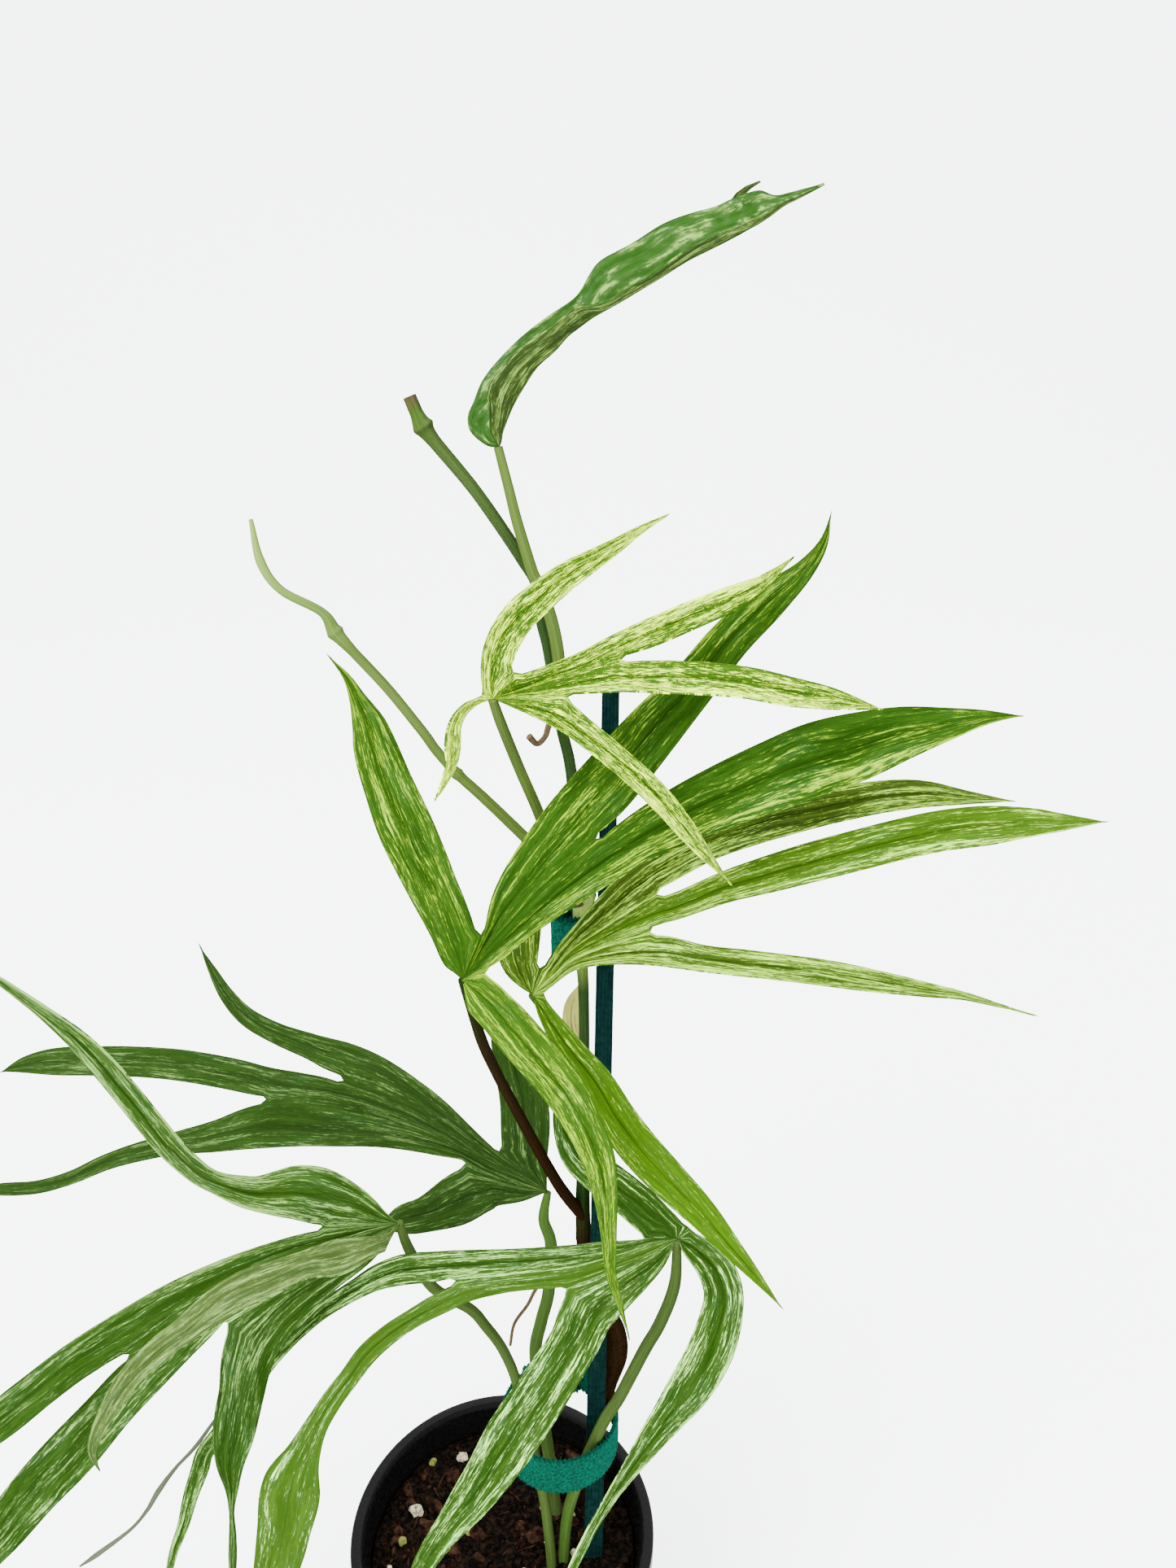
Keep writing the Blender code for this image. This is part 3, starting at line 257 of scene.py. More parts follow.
class Lobe:
    """One long lobe of a blade, as read along its middle: (right, down, back, width seen there)."""

    def __init__(self, *readings, facing=None, facing_tip=None, over=False):
        self.readings = [np.array(reading, float) for reading in readings]
        self.facing = facing
        self.facing_tip = facing_tip
        self.over = over

    def lay(self, base, facing):
        """Smooths the readings, out from the blade's base."""
        self.line = smooth([np.array((*base, 0.0)), *self.readings])
        self.curve = np.array([seen(*reading[:3]) for reading in self.line])
        self.shares, self.length = lengths(self.curve)
        self.rows = max(round(self.length / ROW_STEP), FEWEST_ROWS)
        self.face = Vector(self.facing or facing).normalized()
        self.face_tip = Vector(self.facing_tip or self.facing or facing).normalized()

    def nearest(self, point):
        """The share of the lobe's length that lies closest to the point, a little out from the base."""
        found = self.shares[np.argmin(np.linalg.norm(self.curve - np.array(point), axis=1))]
        return max(float(found), SEAM_LEAST / self.length)

    def reading(self, share):
        """The lobe's reading at this share of its length."""
        return np.array([np.interp(share, self.shares, self.line[:, part]) for part in range(4)])

    def rib(self, share):
        """The point on the lobe's rib at this share of its length."""
        return seen(*self.reading(share)[:3])

    def edge(self, share, side):
        """The lobe's edge at this share of its length, lifted from its own plane towards the eye."""
        right, down, _, width = self.reading(share)
        rib = self.rib(share)
        across, drop, _, _ = self.reading(share + SHARE_STEP) - self.reading(share - SHARE_STEP)
        turn = (-side if self.over else side) * max(width / 2 - EDGE_ROUND, LEAST_WIDTH) / math.hypot(across, drop)
        flat = seen_on(right - drop * turn, down + across * turn, rib, self.face.lerp(self.face_tip, share))
        lift = FOLD * (flat - rib).length * (-1 if self.over else 1)
        return flat + lift * (EYE - flat).normalized()


def sinus_pull(past, half):
    """How far a lobe's edge draws in, this far past the seam's end, so that the notch between lobes is round."""
    rise = math.sqrt(max(0, 1 - max(0, 1 - past / SINUS_ROUND) ** 2))
    return min(SINUS_ROUND, SINUS_MOST * half) * rise * max(0, 1 - past / SINUS_LONG) ** 2


def lobe_sections(lobe, seams):
    """The lobe's rows, each as its place along, its rib and its left and right edges with their places along."""
    stops = {0: [0.0], lobe.rows: [1.0]}
    for seam in filter(None, seams):
        stops.setdefault(len(seam) - 1, []).append(lobe.nearest(seam[-1]))
    places = sorted(float(np.mean(shares)) for shares in stops.values())
    shares = [float(share) for share in np.interp(range(lobe.rows + 1), sorted(stops), places)]
    sections = []
    for row, share in enumerate(shares):
        rib = lobe.rib(share)
        edges = []
        for side, seam in zip((-1, 1), seams):
            along = share * lobe.length
            if row in (0, lobe.rows):
                edge = rib
            elif seam and row < len(seam):
                edge = seam[row]
                along = row * (seam[1] - seam[0]).length
            else:
                edge = lobe.edge(share, side)
                start = shares[len(seam) - 1] if seam else 0
                past = (share - start) * lobe.length
                left_behind = 1 - past / SINUS_EASE
                if seam and left_behind > 0:
                    edge = edge + left_behind**2 * (seam[-1] - lobe.edge(start, side))
                    inward = rib - edge
                    edge = edge + sinus_pull(past, inward.length) * inward.normalized()
            edges.append((edge, along))
        sections.append((share, rib, edges))
    return sections


def fine_grid(mesh, columns, rows):
    """Adds a grid to the mesh: each vertex, its place across from -1 to 1, and its row."""
    verts = bmesh.ops.create_grid(mesh, x_segments=columns, y_segments=rows, size=1.0)["verts"]
    return [(vert, vert.co.x, round((vert.co.y + 1) / 2 * rows)) for vert in verts]


def add_lobe(mesh, number, lobe, seams, looks):
    """Adds the lobe's fine grid, with its pattern coordinates and its look."""
    pattern = mesh.loops.layers.uv["pattern"]
    look = mesh.loops.layers.uv["look"]
    sections = lobe_sections(lobe, seams)
    up = -1 if lobe.over else 1
    for vert, across, row in fine_grid(mesh, COLUMNS, lobe.rows):
        side = 1 if across > 0 else 0
        spread = abs(across)
        share, rib, edges = sections[row]
        edge, edge_along = edges[side]
        along = (share * lobe.length) * (1 - spread) + edge_along * spread
        turn = number + (across + 1) / 2
        calm = min(1, along / CALM_LONG) * min(1, TIP_FADE * (1 - share))
        half = (edge - rib).length
        lift = ARCH * half * math.sin(math.pi * spread) - GROOVE * calm * math.exp(-((spread / GROOVE_WIDE) ** 2))
        lift += PLEAT * calm * min(1, half / PLEAT_FULL) * math.sin(math.tau * PLEATS * spread) * (1 - spread)
        ripple = RIPPLE * calm * spread * noise.noise(Vector((turn * RIPPLE_TURN, along / RIPPLE_LONG, SEED)))
        place = rib.lerp(edge, spread)
        vert.co = place + (up * lift + ripple) * (EYE - place).normalized()
        seam = seams[side]
        shared = spread**3 if seam and row < len(seam) else 0
        neighbour = looks[min(max(number + (1 if side else -1), 0), len(looks) - 1)]
        cream, lime, root = float(np.interp(across, (-1, 0, 1), looks[number][:3])), *looks[number][3:]
        cream += root * max(0, 1 - along / ROOT_LONG) ** 2
        mixed = (cream + shared * (neighbour[0 if side else 2] - cream) / 2, lime + shared * (neighbour[3] - lime) / 2)
        for loop in vert.link_loops:
            loop[pattern].uv = (turn, along / PATTERN_UNIT)
            loop[look].uv = mixed


def new_sheet():
    """An empty mesh with a blade's two maps."""
    mesh = bmesh.new()
    mesh.loops.layers.uv.new("pattern")
    mesh.loops.layers.uv.new("look")
    return mesh


def thick_sheet(name, finishes, mesh):
    """A blade's object: its upper face, and the paler one below."""
    bmesh.ops.remove_doubles(mesh, verts=mesh.verts, dist=WELD)
    piece = new_piece(f"{name}_sheet", mesh, finishes, [name])
    solid = piece.modifiers.new("thickness", "SOLIDIFY")
    solid.thickness = BLADE
    solid.offset = 0
    solid.use_even_offset = False
    solid.material_offset = 1


def make_blade(name, finishes, base, facing, lobes, seams, looks):
    """A leaf's blade: its lobes, clockwise from one side of the petiole to the other."""
    for lobe in lobes:
        lobe.lay(base, facing)
    laid = [None]
    for place, readings in enumerate(seams):
        curve = smooth([seen(*base), *(seen(*reading) for reading in readings)])
        most = min(lobe.rows for lobe in lobes[place : place + 2]) - 2
        rows = min(max(round(lengths(curve)[1] / ROW_STEP), 1), most)
        laid.append(at_shares(curve, np.linspace(0, 1, rows + 1)))
    laid.append(None)
    mesh = new_sheet()
    for number, lobe in enumerate(lobes):
        add_lobe(mesh, number, lobe, laid[number : number + 2], looks)
    thick_sheet(name, finishes, mesh)


def make_rolled_blade(name, finishes, stations, spur_row, spur, look):
    """A half-rolled blade: each station reads its far edge, its rib and its near edge."""
    lines = [
        [Vector(place) for place in smooth([seen(*station[part]) for station in stations], ROLL_STEPS)]
        for part in range(3)
    ]
    mesh = new_sheet()
    pattern, looks = mesh.loops.layers.uv["pattern"], mesh.loops.layers.uv["look"]
    far_edge = {}
    for vert, across, row in fine_grid(mesh, 2 * COLUMNS, len(lines[0]) - 1):
        far, rib, near = (line[row] for line in lines)
        if across < HAIR - 1:
            far_edge[row] = vert
        edge = near if across > 0 else far
        spread = abs(across)
        outward = ((rib + edge) / 2 - (far + rib + near) / 3).normalized()
        half = (edge - rib).length
        wave = noise.noise(Vector((across, row / ROLL_RIPPLE_ROWS, SEED)))
        lift = ROLL_BOW * half * math.sin(math.pi * spread)
        lift += ROLL_RIPPLE * spread * min(1, half / ROLL_RIPPLE_FULL) * wave
        vert.co = rib.lerp(edge, spread) + lift * outward
        for loop in vert.link_loops:
            loop[pattern].uv = ((across + 1) / 2, row / ROLL_STEPS * ROLL_PATTERN)
            loop[looks].uv = look
    root = [far_edge[spur_row * ROLL_STEPS], far_edge[(spur_row + 1) * ROLL_STEPS]]
    for step, readings in enumerate(spur):
        tips = [mesh.verts.new(seen(*reading)) for reading in readings]
        for loop in mesh.faces.new([root[1], root[0], *tips]).loops:
            across = SPUR_ACROSS[loop.vert not in (root[0], tips[0])]
            loop[pattern].uv = (across, SPUR_ALONG * (step + (loop.vert in tips)))
            loop[looks].uv = look
        root = tips
    thick_sheet(name, finishes, mesh)


# ---- Readings ----

# Leaf a, the newest: still half rolled, with one small second tip on its far edge.
A_STATIONS = [
    [(612, 549, -1), (612, 549, -1), (612, 549, -1)],
    [(596, 546, 2), (615, 543, -1), (609, 543, -3)],
    [(579, 532, 5), (617, 531, -1), (604, 533, -5)],
    [(575, 513, 6), (622, 517, -1.5), (601, 512, -6)],
    [(582, 494, 6.5), (631, 496, -2), (599, 490, -7)],
    [(593, 468, 6.5), (645, 472, -2), (603, 470, -7)],
    [(612, 443, 6.5), (660, 450, -2), (619, 446, -7)],
    [(641, 414, 6), (681, 431, -2), (645, 424, -7)],
    [(672, 390, 5), (697, 413, -2), (677, 402, -6)],
    [(699, 372, 4), (711, 402, -2), (698, 385, -5)],
    [(713, 358, 4), (729, 389, -2), (711, 375, -4.5)],
    [(727, 333, 5.5), (752, 376, -2), (737, 374, -5.5)],
    [(742, 318, 6.5), (782, 358, -2), (772, 354, -6.5)],
    [(776, 300, 7), (812, 340, -2), (800, 338, -6.5)],
    [(812, 277, 7), (846, 319, -2), (833, 314, -6.5)],
    [(848, 263, 6.5), (880, 302, -2), (866, 295, -6)],
    [(880, 254, 6), (905, 289, -2), (890, 284, -5.3)],
    [(899, 245, 6), (921, 280, -2), (908, 277, -4.8)],
    [(911, 240, 5.5), (932, 274, -2), (920, 271, -4.5)],
    [(934, 235, 4), (947, 264, -2), (940, 262, -3.7)],
    [(952, 241, 2.5), (963, 252, -1.5), (958, 249, -3)],
    [(975, 236, 1), (981, 243, -1), (978, 241, -2)],
    [(1013, 226, 0), (1013, 226, 0), (1013, 226, 0)],
]
A_SPUR_ROW = 17
A_SPUR = [[(905, 238, 6.5), (918, 236, 6.5)], [(916, 229, 6.8), (924, 231, 6.8)], [(933, 222, 7), (935, 224, 7)]]

# Leaf b: upper, the creamiest.
B_BASE = (605, 859, -28)
B_FACING = (0.05, -0.66, 0.75)
B_LOBES = [
    Lobe((587, 863, -29, 8), (568, 873, -32, 18), (557, 893, -34, 22), (556, 917, -35, 23), (555, 938, -35, 16),
         (544, 965, -34, 8), (534, 984, -34, 0), facing=(0.5, -0.8, 0.3)),
    Lobe((602, 840, -28, 26), (604, 818, -28, 42), (614, 790, -27, 45), (637, 758, -26, 44), (667, 731, -24, 41),
         (702, 704, -22, 35), (745, 678, -20, 24), (783, 654, -19, 13), (824, 631, -18, 0), facing=(0.4, -0.7, 0.6)),
    Lobe((638, 847, -27, 14), (681, 831, -26, 26), (724, 814, -25, 34), (762, 795, -24, 36), (804, 776, -22, 37),
         (848, 757, -21, 36), (896, 737, -20, 32), (934, 718, -19, 20), (955, 702, -19, 11), (976, 684, -19, 0)),
    Lobe((638, 852, -28, 14), (702, 841, -28, 30), (756, 832, -29, 38), (810, 832, -30, 41), (863, 834, -31, 41),
         (917, 839, -32, 40), (970, 850, -34, 38), (1024, 859, -35, 28), (1087, 872, -37, 0)),
    Lobe((648, 868, -30, 20), (686, 880, -32, 32), (713, 898, -34, 31), (745, 922, -36, 32), (777, 949, -37, 32),
         (810, 981, -39, 31), (842, 1019, -41, 26), (871, 1055, -43, 15), (900, 1089, -44, 0)),
]
B_SEAMS = [[(592, 855, -28.5)], [(631, 826, -27.5)], [(762, 811, -26.5)], [(697, 856, -30.5)]]

# Leaf c: the large one in the middle.
C_BASE = (568, 1204, -32)
C_FACING = (-0.05, -0.66, 0.75)
C_LOBES = [
    Lobe((567, 1182, -32, 43), (552, 1137, -32, 55), (526, 1078, -33, 65), (499, 1019, -34, 70), (477, 965, -34, 63),
         (462, 922, -34, 56), (453, 890, -34, 43), (439, 858, -33, 22), (425, 831, -33, 11), (400, 802, -32, 0),
         facing=(-0.3, -0.75, 0.6)),
    Lobe((592, 1165, -31, 30), (620, 1118, -29.5, 50), (659, 1068, -27, 68), (702, 1015, -24, 78),
         (745, 965, -21, 77), (799, 901, -17, 70), (847, 847, -14, 59), (895, 788, -11, 53), (944, 740, -10, 46),
         (987, 702, -9, 27), (1012, 667, -8, 13), (1022, 627, -8, 0), facing=(-0.2, -0.7, 0.7)),
    Lobe((604, 1172, -32, 24), (640, 1138, -31, 36), (681, 1104, -30, 46), (734, 1064, -29, 56), (788, 1029, -28, 62),
         (842, 1000, -27, 72), (895, 976, -26, 81), (949, 954, -26, 88), (1003, 933, -26, 92), (1056, 917, -26, 85),
         (1110, 901, -27, 67), (1164, 890, -28, 42), (1212, 882, -29, 19), (1258, 880, -29, 0)),
    Lobe((590, 1220, -34, 50), (611, 1243, -35, 54), (642, 1279, -37, 57), (684, 1328, -39, 55), (712, 1372, -40, 50),
         (735, 1423, -40, 43), (744, 1470, -40, 31), (748, 1521, -39, 21), (751, 1568, -39, 15), (763, 1609, -38, 8),
         (774, 1648, -37, 0), facing=(-0.25, -0.85, 0.45)),
]
C_SEAMS = [[(591, 1149, -32)], [(606, 1155, -31), (660, 1095, -29.5), (732, 1031, -27)], [(596, 1197, -33.5)]]

# Leaf d: to the right, behind leaf c.
D_BASE = (654, 1223, -20)
D_FACING = (0.0, -0.66, 0.75)
D_LOBES = [
    Lobe((645, 1205, -19.5, 24), (638, 1185, -18.5, 44), (635, 1155, -17, 56), (640, 1120, -15.5, 56),
         (650, 1085, -14.5, 44), (660, 1055, -14, 24), (668, 1035, -14, 0), facing=(-0.3, -0.8, 0.5)),
    Lobe((672, 1200, -19.5, 18), (700, 1161, -18, 22), (745, 1118, -16, 36), (795, 1076, -14, 48),
         (863, 1037, -13, 50), (917, 1017, -12, 50), (970, 1002, -12, 49), (1024, 990, -12, 45),
         (1078, 980, -12.5, 42), (1132, 976, -13, 35), (1185, 980, -14, 19), (1248, 985, -15, 0)),
    Lobe((676, 1204, -20, 8), (702, 1175, -19.5, 14), (750, 1148, -19.5, 26), (800, 1125, -19.5, 30),
         (836, 1113, -20, 32), (890, 1091, -20, 40), (944, 1075, -20.5, 47), (997, 1060, -21, 51),
         (1051, 1046, -21, 52), (1105, 1032, -21.5, 52), (1158, 1021, -22, 52), (1212, 1015, -22.5, 50),
         (1266, 1011, -23, 37), (1303, 1011, -23.5, 24), (1362, 1010, -24, 0)),
    Lobe((678, 1207, -20.5, 8), (706, 1185, -21, 14), (756, 1173, -22, 26), (810, 1170, -22.5, 36),
         (863, 1178, -23, 34), (917, 1184, -24, 35), (970, 1190, -25, 35), (1024, 1197, -26, 34),
         (1078, 1206, -27, 29), (1132, 1215, -28, 21), (1185, 1224, -28.5, 12), (1239, 1239, -29, 5),
         (1276, 1249, -29, 0)),
    Lobe((664, 1238, -21, 14), (680, 1262, -22, 26), (700, 1290, -23.5, 36), (732, 1332, -25.5, 46),
         (758, 1375, -27, 50), (784, 1410, -28.5, 52), (817, 1446, -30, 50), (859, 1488, -32, 41),
         (897, 1532, -33, 28), (928, 1568, -34, 16), (963, 1610, -34, 0), facing=(0.35, -0.8, 0.5)),
]
D_SEAMS = [
    [(663, 1190, -19)],
    [(702, 1169, -19), (755, 1134, -18), (807, 1099, -17)],
    [(704, 1180, -20.5), (750, 1160, -20.5), (799, 1145, -20.5)],
    [(668, 1221, -20.8)],
]

# Leaf e: to the left, behind the vine, and the darkest: its tones are painted darker, as painted shade.
E_BASE = (673, 1465, 14)
E_FACING = (-0.1, -0.5, 0.86)
E_LOBES = [
    Lobe((640, 1466, 13, 24), (610, 1462, 12, 44), (593, 1466, 10.5, 50), (560, 1478, 8, 60), (521, 1493, 6, 46),
         (492, 1500, 5, 36), (464, 1513, 4, 0)),
    Lobe((645, 1453, 14, 10), (600, 1434, 14.8, 16), (560, 1414, 15.6, 26), (516, 1401, 16.5, 32),
         (464, 1393, 17.5, 36), (413, 1389, 18, 42), (361, 1386, 18.5, 48), (310, 1388, 19, 50), (258, 1398, 19, 39),
         (217, 1405, 19, 30), (170, 1416, 19, 25), (129, 1429, 18.5, 21), (88, 1447, 18, 18), (46, 1459, 16.5, 18),
         (0, 1462, 15, 17), (-30, 1465, 13.5, 8), (-50, 1466, 13, 0)),
    Lobe((645, 1448, 14.6, 8), (600, 1425, 15.8, 12), (540, 1390, 18, 20), (480, 1362, 20, 26), (420, 1344, 22.5, 32),
         (370, 1336, 25, 36), (330, 1330, 27, 38), (289, 1321, 29, 41), (227, 1310, 31, 41), (170, 1305, 32, 39),
         (113, 1304, 33, 38), (67, 1305, 34, 35), (31, 1309, 34, 22), (0, 1318, 34, 0)),
    Lobe((645, 1443, 15, 10), (613, 1423, 16, 14), (583, 1400, 17, 18), (542, 1365, 19, 26), (505, 1338, 21.5, 30),
         (464, 1314, 24.5, 34), (430, 1301, 27, 38), (405, 1294, 29, 38), (382, 1286, 31, 34), (340, 1270, 34, 28),
         (304, 1250, 37, 25), (278, 1222, 39, 20), (260, 1191, 41, 12), (244, 1159, 42, 0)),
    Lobe((662, 1448, 15, 26), (652, 1428, 16.5, 44), (647, 1382, 19, 60), (642, 1341, 21, 60), (632, 1305, 23, 54),
         (622, 1274, 24, 40), (618, 1248, 25, 26), (616, 1217, 25, 0), facing=(-0.2, -0.85, 0.4)),
]
E_SEAMS = [
    [(640, 1458, 13.6), (600, 1444, 13.2), (572, 1429, 12.8)],
    [(645, 1450, 14.4), (600, 1429, 15.4), (540, 1398, 17.5), (480, 1375, 19.5), (420, 1359, 21), (370, 1353, 21.8),
     (327, 1351, 22)],
    [(645, 1446, 14.8), (600, 1421, 16), (540, 1382, 18.5), (480, 1350, 21), (422, 1328, 24)],
    [(613, 1415, 16.5)],
]

# Leaf f: lower left, in front. Its first lobe curls over and shows its pale underside.
F_BASE = (490, 1503, -22)
F_FACING = (-0.15, -0.6, 0.78)
F_LOBES = [
    Lobe((479, 1520, -28.5, 14), (458, 1531, -35, 26), (415, 1545, -40.5, 46), (373, 1555, -45, 36),
         (330, 1572, -49, 44), (300, 1584, -52, 46), (268, 1603, -55, 44), (225, 1636, -58, 35), (190, 1662, -60, 32),
         (160, 1692, -61, 30), (140, 1722, -61, 26), (122, 1755, -60, 20), (114, 1780, -59, 14), (118, 1798, -58, 6),
         (123, 1808, -58, 0), facing=(-0.25, -0.5, 0.8), facing_tip=(-0.1, -0.85, 0.5), over=True),
    Lobe((455, 1535, -25, 26), (400, 1570, -29, 42), (355, 1600, -33, 60), (322, 1640, -38, 58), (305, 1675, -41, 60),
         (297, 1712, -43, 57), (291, 1740, -44, 56), (286, 1770, -45, 51), (283, 1800, -45.5, 36),
         (285, 1830, -46, 18), (285, 1858, -46, 8), (286, 1890, -46, 11), (286, 1926, -46, 11), (286, 1965, -46, 0),
         facing=(-0.35, -0.8, 0.4)),
    Lobe((440, 1522, -24, 22), (360, 1556, -27, 32), (290, 1594, -31, 42), (235, 1634, -35, 50), (180, 1684, -39, 58),
         (136, 1731, -42, 58), (87, 1786, -45, 65), (42, 1834, -47, 62), (5, 1880, -48, 56), (-30, 1925, -48, 42),
         (-60, 1975, -48, 20), (-75, 2000, -48, 0)),
    Lobe((440, 1514, -23, 22), (360, 1534, -26, 30), (290, 1560, -29, 38), (220, 1594, -33, 44), (155, 1632, -36, 46),
         (101, 1667, -39, 48), (53, 1703, -41, 48), (0, 1746, -43, 48), (-45, 1785, -44, 32), (-90, 1820, -45, 0)),
    Lobe((468, 1495, -22, 20), (440, 1482, -23, 44), (400, 1470, -25, 68), (370, 1466, -27, 70), (343, 1467, -28, 60),
         (316, 1467, -29, 46), (295, 1463, -30, 40), (265, 1453, -31, 30), (241, 1439, -32, 31), (211, 1412, -33, 33),
         (185, 1381, -34, 34), (156, 1345, -35, 34), (125, 1309, -36, 32), (95, 1278, -37, 27), (58, 1248, -38, 19),
         (24, 1223, -38.5, 14), (-10, 1200, -39, 10), (-40, 1187, -39, 0), facing=(-0.5, -0.6, 0.6)),
]
F_SEAMS = [
    [(470, 1538, -27)],
    [(430, 1540, -25), (350, 1585, -30), (280, 1625, -35)],
    [(430, 1519, -24), (340, 1549, -28), (250, 1600, -33), (159, 1664, -37)],
    [(440, 1505, -22.5), (396, 1508, -24)],
]

# Leaf g: lower right, in front of the pot.
G_BASE = (832, 1522, -20)
G_FACING = (0.0, -0.62, 0.78)
G_LOBES = [
    Lobe((808, 1549, -22.2, 24), (772, 1577, -25, 44), (728, 1612, -29, 60), (706, 1650, -32, 62),
         (680, 1690, -36, 66), (655, 1728, -39, 69), (630, 1765, -42, 70), (605, 1805, -44, 62), (577, 1845, -46, 52),
         (548, 1882, -47, 38), (527, 1912, -48, 31), (518, 1928, -48, 27), (505, 1955, -48, 18), (490, 1985, -48, 0),
         facing=(-0.3, -0.8, 0.5)),
    Lobe((795, 1539, -22, 12), (745, 1557, -24.5, 18), (700, 1570, -27, 22), (640, 1577, -30, 20),
         (582, 1586, -33, 24), (545, 1601, -35, 27), (510, 1619, -37, 26), (478, 1640, -39, 27), (450, 1665, -41, 28),
         (430, 1692, -43, 27), (408, 1721, -44.5, 28), (387, 1755, -46, 32), (372, 1788, -47, 46),
         (360, 1818, -48, 70), (355, 1845, -48, 76), (349, 1880, -48, 68), (343, 1912, -48, 62), (330, 1965, -48, 46),
         (320, 2005, -48, 26), (312, 2040, -48, 0)),
    Lobe((795, 1526, -20.8, 8), (753, 1536, -22, 24), (700, 1544, -23.5, 30), (640, 1550, -25.5, 34),
         (582, 1554, -27, 38), (540, 1557, -28, 40), (500, 1560, -28.5, 40), (467, 1569, -29, 34),
         (440, 1583, -29, 27), (400, 1608, -28.5, 23), (373, 1632, -28, 18), (347, 1658, -27.5, 17),
         (325, 1685, -27, 17), (295, 1728, -26, 19), (270, 1760, -25.5, 21), (252, 1785, -25, 23),
         (246, 1805, -25, 24), (234, 1840, -25, 20), (225, 1875, -25, 16), (214, 1905, -25, 13), (208, 1930, -25, 10),
         (200, 1960, -25, 0)),
    Lobe((818, 1506, -18.5, 30), (800, 1492, -17, 42), (775, 1472, -14.5, 48), (745, 1450, -12.5, 50),
         (715, 1425, -10.5, 46), (700, 1400, -9.5, 38), (690, 1365, -9, 24), (685, 1335, -9, 0)),
    Lobe((845, 1530, -20.5, 24), (866, 1545, -21.5, 40), (882, 1565, -22.5, 48), (889, 1590, -24, 50),
         (886, 1618, -25, 54), (877, 1650, -26.5, 58), (863, 1680, -28, 58), (844, 1710, -29, 55),
         (822, 1740, -30, 44), (803, 1765, -31, 36), (784, 1792, -31.5, 27), (763, 1822, -32, 19),
         (745, 1850, -32.5, 15), (727, 1880, -33, 13), (704, 1926, -34, 12), (690, 1952, -34, 0),
         facing=(0.35, -0.75, 0.5)),
]
G_SEAMS = [
    [(790, 1545, -22.6), (740, 1567, -25.7), (696, 1584, -28)],
    [(792, 1531, -21.4), (740, 1547, -23.2), (690, 1558, -25.5), (620, 1568, -28.5), (560, 1574, -31)],
    [(791, 1523, -19)],
    [(846, 1508, -19.5)],
]

BASES = {"a": A_STATIONS[0][0], "b": B_BASE, "c": C_BASE, "d": D_BASE, "e": E_BASE, "f": F_BASE, "g": G_BASE}

# The stems, from the foot up, and their radii in millimetres. The upper vine ends in the cut node.
VINE_UPPER = [
    (717, 1520, 1), (716, 1470, 0), (717, 1400, 0), (718, 1310, 0), (717, 1215, 0), (713, 1165, 0), (715, 1125, 0),
    (718, 1100, 0), (714, 1070, 0), (702, 950, 0), (689, 890, 0), (674, 800, 0), (665, 762, 0), (659, 718, 0),
    (642, 688, 0), (615, 647, 0), (580, 598, 0), (535, 544, 0), (520, 524, 0), (512, 508, 0), (503, 487, 0),
]
VINE_UPPER_RADII = [
    2.0, 1.8, 1.4, 1.25, 1.25, 1.5, 2.1, 2.5, 1.8, 1.25, 1.2, 1.2, 1.2, 1.2, 1.25, 1.25, 1.25, 1.35, 1.9, 1.35, 1.3,
]
VINE_LOWER = [
    (717, 1519.6, 1), (724, 1560, 2), (742, 1605, 3), (756, 1637, 3.5), (757, 1665, 4), (748, 1696, 5),
    (735, 1740, 6), (722, 1800, 12), (715, 1850, 16),
]
VINE_LOWER_RADII = [2.1, 2.2, 2.4, 2.9, 3.2, 2.6, 2.4, 2.3, 2.2]
RUNNER = [
    (716, 1098, 1.5), (690, 1073, 3), (643, 1027, 3), (595, 981, 2.5), (562, 951, 2), (536, 922, 2), (520, 900, 2),
    (477, 847, 3), (434, 801, 4), (412, 777, 5), (395, 752, 5), (345, 725, 6), (320, 690, 7), (308, 638, 8),
]
RUNNER_RADII = [1.3, 1.3, 1.25, 1.2, 1.15, 1.1, 1.1, 1.1, 1.1, 1.6, 0.95, 0.9, 1.0, 0.45]

